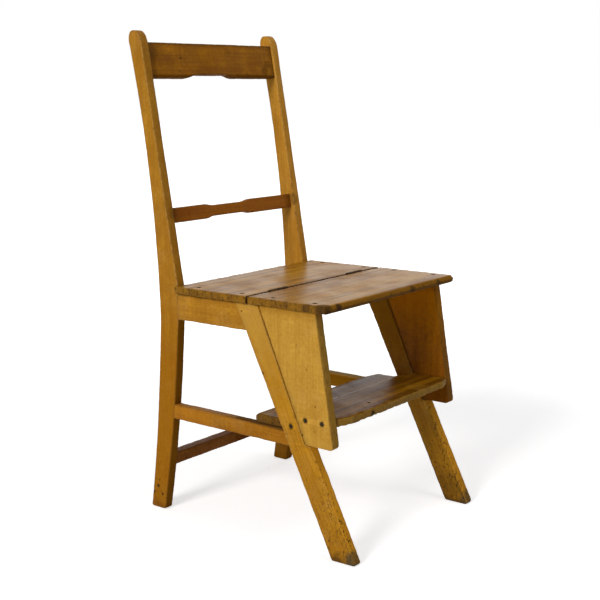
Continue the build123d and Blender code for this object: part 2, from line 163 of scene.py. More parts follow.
class Joinery:
    """Steps that turn a blank into a worn board, as a modeller takes them in edit mode."""

    def name_blank(self, name: str) -> Piece:
        """Name the primitive that was just added and fix its place in its mesh.

        Args:
            name: Name of the piece.

        Returns:
            The named blank.
        """
        piece = bpy.context.object
        piece.name = name
        bpy.ops.object.transform_apply(location=True, rotation=True, scale=True)
        return piece

    def loft(self, name: str, along: Axis, stations: list[Station]) -> Piece:
        """Draw a board through its cross-sections.

        Args:
            name: Name of the piece.
            along: Axis that the sections lie across.
            stations: Sections from one end to the other.

        Returns:
            The closed blank, with square edges.
        """
        deselect_all()
        first = stations[0]
        bpy.ops.mesh.primitive_plane_add(size=1, location=first.middle, rotation=along.turn)
        piece = self.name_blank(name)
        with edit_mode(piece):
            self.resize(Vector([size or 1 for size in first.size]), first.middle)
            for before, after in zip(stations, stations[1:]):
                step = after.middle - before.middle
                bpy.ops.mesh.extrude_region_move(TRANSFORM_OT_translate={"value": step})
                ratio = Vector([new / old if old else 1 for new, old in zip(after.size, before.size)])
                self.resize(ratio, after.middle)
            bpy.ops.mesh.select_all(action="SELECT")
            bpy.ops.mesh.normals_make_consistent(inside=False)
        return piece

    def resize(self, ratio: Vector, centre: Vector) -> None:
        """Scale what is selected about a point."""
        bpy.ops.transform.resize(value=ratio, center_override=centre)

    def block(self, name: str, low: Vector, high: Vector) -> Piece:
        """Add a square board between two corners.

        Args:
            name: Name of the piece.
            low: Its lowest corner.
            high: Its highest corner.

        Returns:
            The square blank.
        """
        deselect_all()
        bpy.ops.mesh.primitive_cube_add(size=1, location=(low + high) / 2, scale=high - low)
        return self.name_blank(name)

    def trim(self, piece: Piece, point: Vector, outward: Vector) -> None:
        """Saw off what lies beyond a plane and close the cut."""
        with edit_mode(piece):
            bpy.ops.mesh.bisect(plane_co=point, plane_no=outward, use_fill=True, clear_outer=True)

    def choose(self, piece: Piece, kind: str, test: Callable[[Any], bool]) -> int:
        """Select the corners, edges or faces of a piece in edit mode that a test accepts.

        Args:
            piece: Board in edit mode.
            kind: VERT, EDGE or FACE.
            test: Says whether a corner, edge or face is wanted.

        Returns:
            How many were selected.
        """
        bpy.ops.mesh.select_mode(type=kind)
        bpy.ops.mesh.select_all(action="DESELECT")
        mesh = bmesh.from_edit_mesh(piece.data)
        parts = {"VERT": mesh.verts, "EDGE": mesh.edges, "FACE": mesh.faces}[kind]
        chosen = [part for part in parts if test(part)]
        for part in chosen:
            part.select_set(True)
        mesh.select_flush_mode()
        bmesh.update_edit_mesh(piece.data)
        return len(chosen)

    def lies_across(self, edge: bmesh.types.BMEdge, test: Callable[[Vector], bool]) -> bool:
        """Whether an edge runs across the chair and a test accepts its middle."""
        start, end = (corner.co for corner in edge.verts)
        return abs((end - start).normalized().x) > 0.9 and test((start + end) / 2)

    def round_edges(self, piece: Piece, radius: float, segments: int, test: Callable[[Vector], bool]) -> None:
        """Round the edges that run across the chair and whose middle a test accepts.

        Args:
            piece: Board to shape.
            radius: How far from the corner the round starts, in metres.
            segments: Faces across the round.
            test: Says whether an edge is wanted, from its middle.
        """
        with edit_mode(piece):
            if self.choose(piece, "EDGE", lambda edge: self.lies_across(edge, test)):
                bpy.ops.mesh.bevel(offset=radius, segments=segments, profile=0.5, affect="EDGES")

    def stretch_above(self, piece: Piece, height: float, ratio: float) -> None:
        """Stretch what lies above a height upwards.

        Args:
            piece: Board to shape.
            height: Where the stretched part starts, in metres.
            ratio: How much taller it gets.
        """
        with edit_mode(piece):
            self.choose(piece, "VERT", lambda corner: corner.co.z > height - 0.5 * MM)
            self.resize(Vector((1, 1, ratio)), Vector((0, 0, height)))

    def bevel_sharp(self, piece: Piece, wear: Wear, width: float, segments: int, profile: float) -> None:
        """Bevel the sharp edges of a piece, all by the same width.

        Args:
            piece: Board to shape.
            wear: Gives the angle from which an edge is sharp.
            width: Width of the bevel, in metres.
            segments: Faces across the bevel.
            profile: Its shape, round at 0.5 and square at 1.
        """
        with edit_mode(piece):
            bpy.ops.mesh.select_mode(type="EDGE")
            bpy.ops.mesh.select_all(action="DESELECT")
            bpy.ops.mesh.edges_select_sharp(sharpness=wear.sharpness)
            bpy.ops.mesh.bevel(offset=width, segments=segments, profile=profile, affect="EDGES")

    def slice_every(self, piece: Piece, axis: Axis, pitch: float) -> None:
        """Cut loops across a board at an even pitch.

        Args:
            piece: Board to cut.
            axis: Axis that the cuts lie across.
            pitch: Distance between them, in metres.
        """
        spans = [axis.value.dot(corner.co) for corner in piece.data.vertices]
        low, high = min(spans), max(spans)
        count = max(1, round((high - low) / pitch))
        with edit_mode(piece):
            for index in range(count):
                place = low + (high - low) * (index + 0.37) / count
                bpy.ops.mesh.select_all(action="SELECT")
                bpy.ops.mesh.bisect(plane_co=axis.value * place, plane_no=axis.value)

    def arris_points(self, piece: Piece, wear: Wear) -> list[Vector]:
        """Points spread along the sharp edges of a blank.

        Args:
            piece: Blank board.
            wear: Gives the angle from which an edge is sharp.

        Returns:
            The points, in metres.
        """
        mesh = bmesh.new()
        mesh.from_mesh(piece.data)
        points = []
        for edge in mesh.edges:
            if len(edge.link_faces) == 2 and edge.calc_face_angle() > wear.sharpness:
                start, end = (corner.co for corner in edge.verts)
                steps = max(1, math.ceil((end - start).length / (3 * MM)))
                points += [start.lerp(end, index / steps) for index in range(steps + 1)]
        mesh.free()
        return points

    def wear_down(self, piece: Piece, wear: Wear, cuts: list[Axis], pitch: float) -> None:
        """Round, rub and nick the sharp edges, and keep how near each point is to one as an attribute.

        Args:
            piece: Blank board with square edges.
            wear: How much it has been used.
            cuts: Axes along which it gets loops at an even pitch.
            pitch: Distance between those loops, in metres.
        """
        points = self.arris_points(piece, wear)
        self.bevel_sharp(piece, wear, wear.border, 2, 1.0)
        self.bevel_sharp(piece, wear, wear.edge_radius, 3, 0.5)
        for axis in cuts:
            self.slice_every(piece, axis, pitch)
        with edit_mode(piece):
            bpy.ops.mesh.remove_doubles(threshold=0.05 * MM)
            bpy.ops.mesh.normals_make_consistent(inside=False)
        tree = KDTree(len(points))
        for index, point in enumerate(points):
            tree.insert(point, index)
        tree.balance()
        rubbed = piece.vertex_groups.new(name="rubbed")
        values = []
        for corner in piece.data.vertices:
            near = tree.find(corner.co)[2] - wear.edge_radius
            values.append(min(1.0, max(0.0, 1 - near / wear.border)))
            rubbed.add([corner.index], values[-1], "REPLACE")
        layer = piece.data.attributes.new("arris", "FLOAT", "POINT")
        layer.data.foreach_set("value", values)
        self.displace(piece, "rub", wear.rub_size, wear.rub_depth, 1.6, 1.0)
        self.displace(piece, "nick", wear.nick_size, wear.nick_depth, 4.5, 0.68)

    def displace(self, piece: Piece, kind: str, size: float, depth: float, contrast: float, level: float) -> None:
        """Push the edges of a board inwards by an uneven amount.

        Args:
            piece: Board whose group rubbed says how much each point moves.
            kind: Name of the step.
            size: Size of the hollows, in metres.
            depth: Their greatest depth, in metres.
            contrast: How sharply they end.
            level: How much of the edge they take.
        """
        cloud = bpy.data.textures.new(f"{piece.name}_{kind}", "CLOUDS")
        cloud.noise_scale = size
        cloud.noise_depth = 1
        cloud.contrast = contrast
        cloud.intensity = level
        cloud.use_clamp = True
        make_active(piece)
        push = piece.modifiers.new(kind, "DISPLACE")
        push.texture = cloud
        push.texture_coords = "LOCAL"
        push.vertex_group = "rubbed"
        push.mid_level = 0
        push.strength = -depth
        bpy.ops.object.modifier_apply(modifier=push.name)

    def bore(self, piece: Piece, places: list[Vector], along: Axis, radius: float, depth: float) -> None:
        """Sink round holes into a board.

        Args:
            piece: Board to cut.
            places: Middle of each hole's mouth.
            along: Axis of the holes.
            radius: Radius of the holes.
            depth: How far they go in, to both sides of the place.
        """
        cutters = []
        for place in places:
            deselect_all()
            bpy.ops.mesh.primitive_cylinder_add(
                vertices=24, radius=radius, depth=depth * 2, location=place, rotation=along.turn
            )
            cutters.append(bpy.context.object)
        for cutter in cutters:
            cutter.select_set(True)
        if len(cutters) > 1:
            bpy.ops.object.join()
        cutter = bpy.context.object
        make_active(piece)
        hole = piece.modifiers.new("holes", "BOOLEAN")
        hole.object = cutter
        hole.operation = "DIFFERENCE"
        hole.solver = "MANIFOLD"
        bpy.ops.object.modifier_apply(modifier=hole.name)
        bpy.data.objects.remove(cutter, do_unlink=True)

    def smooth(self, piece: Piece) -> None:
        """Shade a board smooth, apart from its sharp creases.

        Args:
            piece: Finished board.
        """
        make_active(piece)
        bpy.ops.object.shade_smooth_by_angle(angle=CREASE_ANGLE)
        deselect_all()


JOINERY = Joinery()


@dataclass(frozen=True)
class Site:
    """Turns the chair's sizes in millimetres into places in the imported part."""

    datum: float

    def point(self, across: float, depth: float, height: float) -> Vector:
        """Place of a point whose depth is measured from the posts' front face at seat height."""
        return Vector((across * MM, depth * MM + self.datum, height * MM))

    def station(self, span: tuple[float, float], depths: tuple[float, float], heights: tuple[float, float]) -> Station:
        """Cross-section between two corners given in millimetres."""
        return Station(*(self.point(*corner) for corner in zip(span, depths, heights)))


def bow(low: tuple[float, float], middle: tuple[float, float], high: tuple[float, float], height: float) -> float:
    """Depth at a height on the shallow curve through three points of depth and height.

    Args:
        low: Depth and height of the lowest point.
        middle: Depth and height of the middle point.
        high: Depth and height of the highest point.
        height: Where the depth is wanted.

    Returns:
        The depth.
    """
    total = 0.0
    points = (low, middle, high)
    for index, (depth, level) in enumerate(points):
        share = 1.0
        for other, (_, other_level) in enumerate(points):
            if other != index:
                share *= (height - other_level) / (level - other_level)
        total += depth * share
    return total


@dataclass(frozen=True)
class Lines:
    """Slanting lines that the posts, the legs and the cheeks share, in millimetres."""

    seat_height: float = 450.0
    seat_thickness: float = 14.0
    post_rise: float = 471.0
    post_lean: float = 80.0
    rest_gap: float = 0.4
    rake_share: float = 0.4901
    leg_top_front: float = -195.3
    leg_depth: float = 52.5
    notch_depth: float = 12.0
    cheek_bottom: float = 197.3
    cheek_top_gap: float = 3.6
    cheek_bottom_gap: float = 0.9
    cheek_top_front: float = -326.4
    cheek_forward: float = 36.6

    @property
    def seat_underside(self) -> float:
        """Height of the underside of the seat."""
        return self.seat_height - self.seat_thickness

    @property
    def leg_top(self) -> float:
        """Height of the raked legs' tops."""
        return self.seat_underside - self.rest_gap

    def back_face(self, height: float) -> float:
        """Depth of the posts' front face above the seat."""
        return self.post_lean * max(0.0, height - self.seat_height) / self.post_rise

    def leg_front(self, height: float) -> float:
        """Depth of a leg's front face before it is notched."""
        return self.leg_top_front - self.rake_share * (self.leg_top - height)

    def leg_back(self, height: float) -> float:
        """Depth of a leg's back face."""
        return self.leg_front(height) + self.leg_depth

    def notch(self, height: float) -> float:
        """Depth of the slanting seat in a leg's front."""
        fall = (self.leg_top - height) / (self.leg_top - self.cheek_bottom)
        return self.leg_front(height) + self.notch_depth * fall

    def cheek_fall(self, height: float) -> float:
        """How far down a cheek a height lies, from 0 at its top to 1 at its bottom."""
        return (self.seat_underside - height) / (self.seat_underside - self.cheek_bottom)

    def cheek_back(self, height: float) -> float:
        """Depth of a cheek's back edge."""
        widening = (self.cheek_top_gap - self.cheek_bottom_gap) * self.cheek_fall(height)
        return self.notch(height) - self.cheek_top_gap + widening

    def cheek_front(self, height: float) -> float:
        """Depth of a cheek's front edge."""
        return self.cheek_top_front - self.cheek_forward * self.cheek_fall(height)

    def leg_plane(self, site: Site, inset: float) -> tuple[Vector, Vector]:
        """Point and forward normal of a plane that lies inside a leg's back face by an inset."""
        point = site.point(0, self.leg_back(self.leg_top) - inset, self.leg_top)
        return point, Vector((0, -1, self.rake_share)).normalized()


LINES = Lines()


@dataclass
class Board:
    """What every wooden piece of the chair needs after it is shaped."""

    site: Site
    pitch: float = 4.0

    def finish(self, piece: Piece, cuts: list[Axis], wear: Wear) -> Piece:
        """Wear a blank's edges down.

        Args:
            piece: Blank board.
            cuts: Axes along which it gets loops at an even pitch.
            wear: How worn it is.

        Returns:
            The worn board.
        """
        JOINERY.wear_down(piece, wear, cuts, self.pitch * MM)
        return piece


@dataclass
class SidedBoard(Board):
    """A board that the chair has on its left and on its right."""

    side: int = 1
    inner: float = 178.0
    outer: float = 198.0

    @property
    def word(self) -> str:
        """Side that the board is on."""
        return "right" if self.side > 0 else "left"

    @property
    def span(self) -> tuple[float, float]:
        """Where the board lies across the chair, lowest first."""
        return (self.inner, self.outer) if self.side > 0 else (-self.outer, -self.inner)


@dataclass
class RearPost(SidedBoard):
    """One rear post: splayed below the seat and leaning back above it."""

    waist: float = 388.0
    shin: float = 190.1
    top_radius: float = 15.3
    top_rise: float = 24.0
    foot_radius: float = 5.0

    def front(self, height: float) -> float:
        """Depth of the front face.

        Args:
            height: Height on the post, in millimetres.

        Returns:
            The depth, in millimetres.
        """
        if height < self.waist:
            return bow((51.0, 0.0), (20.0, self.shin), (0.0, self.waist), height)
        return LINES.back_face(height)

    def back(self, height: float) -> float:
        """Depth of the back face.

        Args:
            height: Height on the post, in millimetres.

        Returns:
            The depth, in millimetres.
        """
        if height < self.waist:
            return bow((89.0, 0.0), (63.5, self.shin), (48.5, self.waist), height)
        shoulder = LINES.seat_height + LINES.post_rise - self.top_radius
        return bow((48.5, self.waist), (65.3, 646.0), (110.3, shoulder), height)

    def build(self) -> Piece:
        """Model the post.

        Returns:
            The worn piece.
        """
        top = LINES.seat_height + LINES.post_rise
        start = top - self.top_rise
        levels = [0, 45, 90, 135, 180, 225, 270, 315, 355, self.waist, 420, LINES.seat_height, 490, 540]
        levels += [590, 640, 690, 740, 790, 840, start - 3]
        stations = [self.site.station(self.span, (self.front(z), self.back(z)), (z, z)) for z in levels]
        blank = start + self.top_radius
        stations.append(self.site.station(self.span, (self.front(top), self.back(top)), (blank, blank)))
        post = JOINERY.loft(f"{self.word}_post", Axis.Z, stations)
        for low, high, radius in ((blank - 1, blank + 1, self.top_radius), (-1, 1, self.foot_radius)):
            JOINERY.round_edges(post, radius * MM, 8, lambda mid: low * MM < mid.z < high * MM)
        JOINERY.stretch_above(post, start * MM, self.top_rise / self.top_radius)
        worn = Wear(edge_radius=2.2 * MM, rub_depth=0.6 * MM, rub_size=70 * MM, nick_depth=0.25 * MM)
        return self.finish(post, [Axis.Z], worn)


@dataclass
class FrontLeg(SidedBoard):
    """One raked front leg, with the notch for the cheek and its shoulder."""

    toe_width: float = 8.4
    heel_width: float = 3.1
    shoulder_slope: float = 0.4
    screw_height: float = 226.5
    screw_inset: float = 24.0
    peg_height: float = 420.1
    peg_inset: float = 9.0
    peg_radius: float = 1.85
    peg_depth: float = 3.0

    def build(self) -> Piece:
        """Model the leg.

        Returns:
            The worn piece.
        """
        low = LINES.cheek_bottom
        levels = [(z, LINES.leg_front(z)) for z in (0.0, 50.0, 100.0, 150.0, low)]
        levels += [(z, LINES.notch(z)) for z in (low + self.shoulder_slope, 240.0, 290.0, 340.0, 390.0, LINES.leg_top)]
        stations = [self.site.station(self.span, (front, LINES.leg_back(z)), (z, z)) for z, front in levels]
        leg = JOINERY.loft(f"{self.word}_leg", Axis.Z, stations)
        middle = self.site.point(0, (LINES.leg_front(0) + LINES.leg_back(0)) / 2, 0).y
        for width, ahead in ((self.toe_width, True), (self.heel_width, False)):
            JOINERY.round_edges(leg, width * MM, 6, lambda mid: mid.z < 1 * MM and (mid.y < middle) is ahead)
        self.finish(leg, [Axis.Z], Wear(edge_radius=1.8 * MM, border=3.2 * MM, rub_depth=0.8 * MM))
        for height, inset, radius, depth in (
            (self.screw_height, self.screw_inset, WELL_RADIUS, WELL_DEPTH),
            (self.peg_height, self.peg_inset, self.peg_radius * MM, self.peg_depth * MM),
        ):
            mouth = self.site.point(self.side * self.outer, LINES.leg_back(height) - inset, height)
            JOINERY.bore(leg, [mouth], Axis.X, radius, depth)
        return leg


@dataclass
class Cheek(SidedBoard):
    """One cheek, which hangs from the front seat board and carries the folding step."""

    inner: float = 179.0
    corner_radius: float = 10.0
    heel_radius: float = 2.5
    screw_height: float = 242.6
    screw_insets: tuple[float, float] = (18.0, 54.5)

    def build(self) -> Piece:
        """Model the cheek.

        Returns:
            The worn piece.
        """
        low = LINES.cheek_bottom
        levels = [low, 230.0, 280.0, 330.0, 380.0, LINES.seat_underside]
        stations = [
            self.site.station(self.span, (LINES.cheek_front(z), LINES.cheek_back(z)), (z, z)) for z in levels
        ]
        cheek = JOINERY.loft(f"{self.word}_side_board", Axis.Z, stations)
        middle = self.site.point(0, (LINES.cheek_front(low) + LINES.cheek_back(low)) / 2, 0).y
        bottom = (low + 1) * MM
        JOINERY.round_edges(cheek, self.corner_radius * MM, 6, lambda mid: mid.z < bottom and mid.y < middle)
        JOINERY.round_edges(cheek, self.heel_radius * MM, 3, lambda mid: mid.z < bottom and mid.y > middle)
        self.finish(cheek, [Axis.Z], Wear(edge_radius=1.4 * MM, border=2.2 * MM))
        front = LINES.cheek_front(self.screw_height)
        places = [
            self.site.point(self.side * self.outer, front + inset, self.screw_height) for inset in self.screw_insets
        ]
        JOINERY.bore(cheek, places, Axis.X, WELL_RADIUS, WELL_DEPTH)
        return cheek


@dataclass
class BackRail(Board):
    """A rail between the posts that leans back with them, with a carved stretch left of the middle."""

    name: str = "top_rail"
    bottom: float = 834.0
    height: float = 66.5
    thickness: float = 18.0
    setback: float = 4.0
    half: float = 178.0
    embed: float = 4.0
    carving: float = -13.0
    flat: float = 84.0
    shoulder: float = 26.0
    rise: float = 6.0
    waisted: bool = False
    edge_radius: float = 1.6

    def step(self, across: float) -> float:
        """How far the edge is carved in at a place across the rail.

        Args:
            across: Place across the chair, in millimetres.

        Returns:
            The cut, in millimetres.
        """
        away = abs(across - self.carving) - self.flat / 2
        share = min(1.0, max(0.0, 1 - away / self.shoulder))
        return self.rise * share * share * (3 - 2 * share)

    def build(self) -> Piece:
        """Model the rail upright and lean it back.

        Returns:
            The worn piece.
        """
        face = LINES.back_face(self.bottom) + self.setback
        reach = self.half + self.embed
        left = self.carving - self.flat / 2
        right = self.carving + self.flat / 2
        shares = (0.0, 0.2, 0.4, 0.6, 0.8, 1.0)
        stops = [-reach, -150.0, -120.0]
        stops += [left - self.shoulder * share for share in reversed(shares)]
        stops += [self.carving - 20.0, self.carving + 20.0]
        stops += [right + self.shoulder * share for share in shares]
        stops += [100.0, 140.0, reach]
        stations = []
        for across in stops:
            cut = self.step(across)
            low = self.bottom + cut
            high = self.bottom + self.height - (cut if self.waisted else 0)
            stations.append(self.site.station((across, across), (face, face + self.thickness), (low, high)))
        rail = JOINERY.loft(self.name, Axis.X, stations)
        lean = math.atan2(LINES.post_lean, LINES.post_rise)
        foot = self.site.point(0, face, self.bottom)
        with edit_mode(rail):
            bpy.ops.transform.rotate(value=lean, orient_axis="X", center_override=foot)
        worn = Wear(edge_radius=self.edge_radius * MM, border=3.2 * MM, rub_depth=0.3 * MM, nick_depth=0.3 * MM)
        return self.finish(rail, [Axis.X], worn)


@dataclass
class SeatBoard(Board):
    """One half of the seat."""

    name: str = "seat_back_half"
    front: float = -176.8
    back: float = 0.0
    half: float = 206.5
    rounded: bool = False
    corner_radius: float = 6.0
    nose_top: float = 8.5
    nose_foot: float = 3.5
    split: float = -178.3
    hinge_across: float = 118.0
    hinge_rise: float = 0.4
    hinge_radius: float = 2.3
    hinge_half: float = 25.2
    screw_across: float = 187.5
    screw_depths: tuple[float, float] = (-46.0, -152.0)

    @property
    def screws(self) -> list[Place]:
        """Where the screws' wells open on the seat."""
        return [(side * self.screw_across, depth, LINES.seat_height) for side in SIDES for depth in self.screw_depths]

    def drawn_in(self, reach: float, radius: float) -> float:
        """How far a rounded edge draws the board in at a distance from its front.

        Args:
            reach: Distance from the front edge, in millimetres.
            radius: Size of the round, in millimetres.

        Returns:
            The cut, in millimetres.
        """
        if not self.rounded or reach >= radius:
            return 0.0
        return radius - math.sqrt(radius * radius - (radius - reach) ** 2)

    def build(self) -> Piece:
        """Model the board with its rounded front edge, hinge notches and screw wells.

        Returns:
            The worn piece.
        """
        top = LINES.seat_height
        bottom = LINES.seat_underside
        stations = [self.site.station((-self.half, self.half), (self.back, self.back), (bottom, top))]
        for reach in (9.0, 7.0, 5.5, 3.8, 2.4, 1.2, 0.4, 0.0) if self.rounded else (0.0,):
            across = self.half - self.drawn_in(reach, self.corner_radius)
            low = bottom + self.drawn_in(reach, self.nose_foot)
            high = top - self.drawn_in(reach, self.nose_top)
            depth = self.front + reach
            stations.append(self.site.station((-across, across), (depth, depth), (low, high)))
        board = JOINERY.loft(self.name, Axis.Y, stations)
        worn = Wear(edge_radius=1.6 * MM, border=3.4 * MM, rub_depth=0.7 * MM, nick_depth=1.0 * MM, nick_size=7 * MM)
        self.finish(board, [Axis.X, Axis.Y], worn)
        wells = [self.site.point(*screw) for screw in self.screws]
        JOINERY.bore(board, wells, Axis.Z, WELL_RADIUS, WELL_DEPTH)
        barrels = [self.site.point(side * self.hinge_across, self.split, top + self.hinge_rise) for side in SIDES]
        JOINERY.bore(board, barrels, Axis.X, self.hinge_radius * MM, self.hinge_half * MM)
        return board


@dataclass
class SideBar(SidedBoard):
    """A seat rail or a side stretcher, from a raked leg to a rear post."""

    name: str = "seat_bar"
    outer: float = 197.0
    bottom: float = 385.0
    top: float = 436.0
    back: float = 0.0
    embed: float = 3.0

    def build(self) -> Piece:
        """Model the bar and saw its front end to the leg's slant.

        Returns:
            The worn piece.
        """
        inner, outer = self.span
        low = self.site.point(inner, LINES.leg_back(self.bottom) - 20, self.bottom)
        high = self.site.point(outer, self.back + self.embed, self.top)
        bar = JOINERY.block(f"{self.word}_{self.name}", low, high)
        JOINERY.trim(bar, *LINES.leg_plane(self.site, self.embed))
        return self.finish(bar, [Axis.Y], Wear(edge_radius=1.4 * MM, border=3.0 * MM))


@dataclass
class RearStretcher(Board):
    """The low bar between the rear posts."""

    embed: float = 3.0
    reach: float = 178.0

    def build(self) -> Piece:
        """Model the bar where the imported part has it.

        Returns:
            The worn piece.
        """
        low, high = (Vector(corner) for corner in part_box("rear_stretcher"))
        low.x, high.x = (side * (self.reach + self.embed) * MM for side in SIDES)
        bar = JOINERY.block("back_stretcher", low, high)
        return self.finish(bar, [Axis.X], Wear(edge_radius=1.4 * MM, border=3.0 * MM))


@dataclass
class LowerTread(Board):
    """The fixed tread, with an ear behind the left leg and its right corner sawn off."""

    bottom: float = 218.0
    top: float = 235.0
    depth: float = 118.6
    overhang: float = 58.6
    inner: float = 178.0
    ear: float = 15.0
    back_radius: float = 8.0
    corner_width: float = 44.0
    corner_depth: float = 9.0

    def build(self) -> Piece:
        """Model the tread, pull out its ear, saw off the right rear corner and round the back.

        Returns:
            The worn piece.
        """
        back = LINES.leg_back(self.top) + self.overhang
        low = self.site.point(-self.inner, back - self.depth, self.bottom)
        high = self.site.point(self.inner, back, self.top)
        tread = JOINERY.block("fixed_tread", low, high)
        point, normal = LINES.leg_plane(self.site, 0)
        with edit_mode(tread):
            bpy.ops.mesh.bisect(plane_co=point, plane_no=normal)
            JOINERY.choose(
                tread, "FACE",
                lambda face: (face.calc_center_median() - point).dot(normal) < 0 and face.normal.x < -0.9,
            )
            bpy.ops.mesh.extrude_region_move(TRANSFORM_OT_translate={"value": (-self.ear * MM, 0, 0)})
        corner = self.site.point(self.inner, back - self.corner_depth, 0)
        JOINERY.trim(tread, corner, Vector((self.corner_depth, self.corner_width, 0)).normalized())
        JOINERY.round_edges(tread, self.back_radius * MM, 8, lambda mid: mid.y > corner.y + 1 * MM)
        return self.finish(tread, [Axis.X, Axis.Y], Wear(edge_radius=1.8 * MM, border=3.2 * MM))


@dataclass
class FoldingStep(Board):
    """The step between the cheeks, its corners sawn off front and back."""

    bottom: float = 235.4
    top: float = 249.8
    half: float = 179.0
    depth: float = 102.0
    nose: float = 11.0
    front_corner: tuple[float, float] = (30.0, 9.5)
    back_corner: tuple[float, float] = (44.0, 19.0)

    @property
    def front(self) -> float:
        """Depth of the front edge."""
        return LINES.cheek_front((self.bottom + self.top) / 2) - self.nose

    def build(self) -> Piece:
        """Model the step.

        Returns:
            The worn piece.
        """
        back = self.front + self.depth
        low = self.site.point(-self.half, self.front, self.bottom)
        high = self.site.point(self.half, back, self.top)
        step = JOINERY.block("swinging_step", low, high)
        for side in SIDES:
            width, depth = self.back_corner
            corner = self.site.point(side * self.half, back - depth, 0)
            JOINERY.trim(step, corner, Vector((side * depth, width, 0)).normalized())
            width, depth = self.front_corner
            corner = self.site.point(side * self.half, self.front + depth, 0)
            JOINERY.trim(step, corner, Vector((side * depth, -width, 0)).normalized())
        worn = Wear(edge_radius=2.4 * MM, border=3.6 * MM, rub_depth=1.0 * MM, nick_depth=1.4 * MM)
        return self.finish(step, [Axis.X, Axis.Y], worn)


class Graph:
    """Short ways to add nodes to one node tree."""

    def __init__(self, tree: Tree) -> None:
        """Work on a tree."""
        self.tree = tree

    def add(self, kind: str, **settings: Any) -> bpy.types.Node:
        """Add a node and set its properties.

        Args:
            kind: Blender's name of the node's type.
            settings: Properties and their values.

        Returns:
            The node.
        """
        node = self.tree.nodes.new(kind)
        for name, value in settings.items():
            setattr(node, name, value)
        return node

    def feed(self, socket: Socket, value: Value) -> None:
        """Link a socket to an output, or set it to a constant.

        Args:
            socket: Input to feed.
            value: Output to link, or a constant.
        """
        if isinstance(value, Socket):
            self.tree.links.new(value, socket)
        elif value is not None:
            socket.default_value = value

    def feed_all(self, sockets: Iterable[Socket], values: Iterable[Value]) -> None:
        """Feed sockets in their order."""
        for socket, value in zip(sockets, values):
            self.feed(socket, value)

    def feed_named(self, sockets: Any, values: dict[str, Value]) -> None:
        """Feed sockets by their names, given in lower case with underscores for spaces."""
        for name, value in values.items():
            self.feed(sockets[name.replace("_", " ").capitalize()], value)

    def math(self, operation: str, *values: Value, clamp: bool = False) -> Socket:
        """Result of a sum on numbers or outputs.

        Args:
            operation: Name of the sum.
            values: What goes in.
            clamp: Whether the result stays between 0 and 1.

        Returns:
            The result.
        """
        node = self.add("ShaderNodeMath", operation=operation, use_clamp=clamp)
        self.feed_all(node.inputs, values)
        return node.outputs[0]

    def times(self, value: Value, factor: Value) -> Socket:
        """Product of two values."""
        return self.math("MULTIPLY", value, factor)

    def scaled(self, value: Value, factor: Value, added: Value) -> Socket:
        """A value times a factor, with another value added."""
        return self.math("MULTIPLY_ADD", value, factor, added)

    def larger(self, value: Value, other: Value) -> Socket:
        """The larger of two values."""
        return self.math("MAXIMUM", value, other)

    def vector(self, operation: str, *values: Value) -> Socket:
        """Result of a sum on vectors.

        Args:
            operation: Name of the sum.
            values: What goes in.

        Returns:
            The result, a number for a length or a product.
        """
        node = self.add("ShaderNodeVectorMath", operation=operation)
        self.feed_all(node.inputs, values)
        return node.outputs["Value" if operation in ("LENGTH", "DISTANCE", "DOT_PRODUCT") else "Vector"]

    def noise(self, place: Value, scale: float = 1.0, detail: float = 2.0, roughness: float = 0.5) -> Socket:
        """Noise from 0 to 1 at a place.

        Args:
            place: Where it is read.
            scale: Waves in a metre.
            detail: Number of finer layers.
            roughness: Strength of the finer layers.

        Returns:
            The noise.
        """
        node = self.add("ShaderNodeTexNoise")
        self.feed_named(node.inputs, {"vector": place, "scale": scale, "detail": detail, "roughness": roughness})
        return node.outputs["Fac"]

    def stretched(self, place: Value, across: float, along: float, detail: float = 2.0) -> Socket:
        """Noise drawn out along the grain, which runs along Z."""
        return self.noise(self.vector("MULTIPLY", place, (across, across, along)), 1.0, detail, 0.6)

    def ramp(self, value: Value, start: float, end: float, low: float = 0.0, high: float = 1.0) -> Socket:
        """Smooth change of a value from one level to another.

        Args:
            value: What changes.
            start: Value at which the change starts.
            end: Value at which it ends.
            low: Level before the start.
            high: Level after the end.

        Returns:
            The level.
        """
        node = self.add("ShaderNodeMapRange", interpolation_type="SMOOTHSTEP")
        self.feed_all(node.inputs, (value, start, end, low, high))
        return node.outputs[0]

    def mix(self, share: Value, below: Value, above: Value) -> Socket:
        """Mix of two colours.

        Args:
            share: Share of the upper colour.
            below: Lower colour.
            above: Upper colour.

        Returns:
            The mixed colour.
        """
        node = self.add("ShaderNodeMix", data_type="RGBA")
        colours = [socket for socket in node.inputs if socket.type == "RGBA"]
        self.feed_all((node.inputs[0], *colours), (share, below, above))
        return next(socket for socket in node.outputs if socket.type == "RGBA")

    def apart(self, place: Value) -> list[Socket]:
        """The three coordinates of a place.

        Args:
            place: Vector to take apart.

        Returns:
            Its X, Y and Z.
        """
        node = self.add("ShaderNodeSeparateXYZ")
        self.feed(node.inputs[0], place)
        return list(node.outputs)

    def group(self, tree: Tree, **values: Value) -> Any:
        """Place a node group, feed its inputs and give its outputs.

        Args:
            tree: The group.
            values: Its inputs by name, with underscores for spaces.

        Returns:
            The group's outputs.
        """
        node = self.add("ShaderNodeGroup", node_tree=tree)
        self.feed_named(node.inputs, values)
        return node.outputs


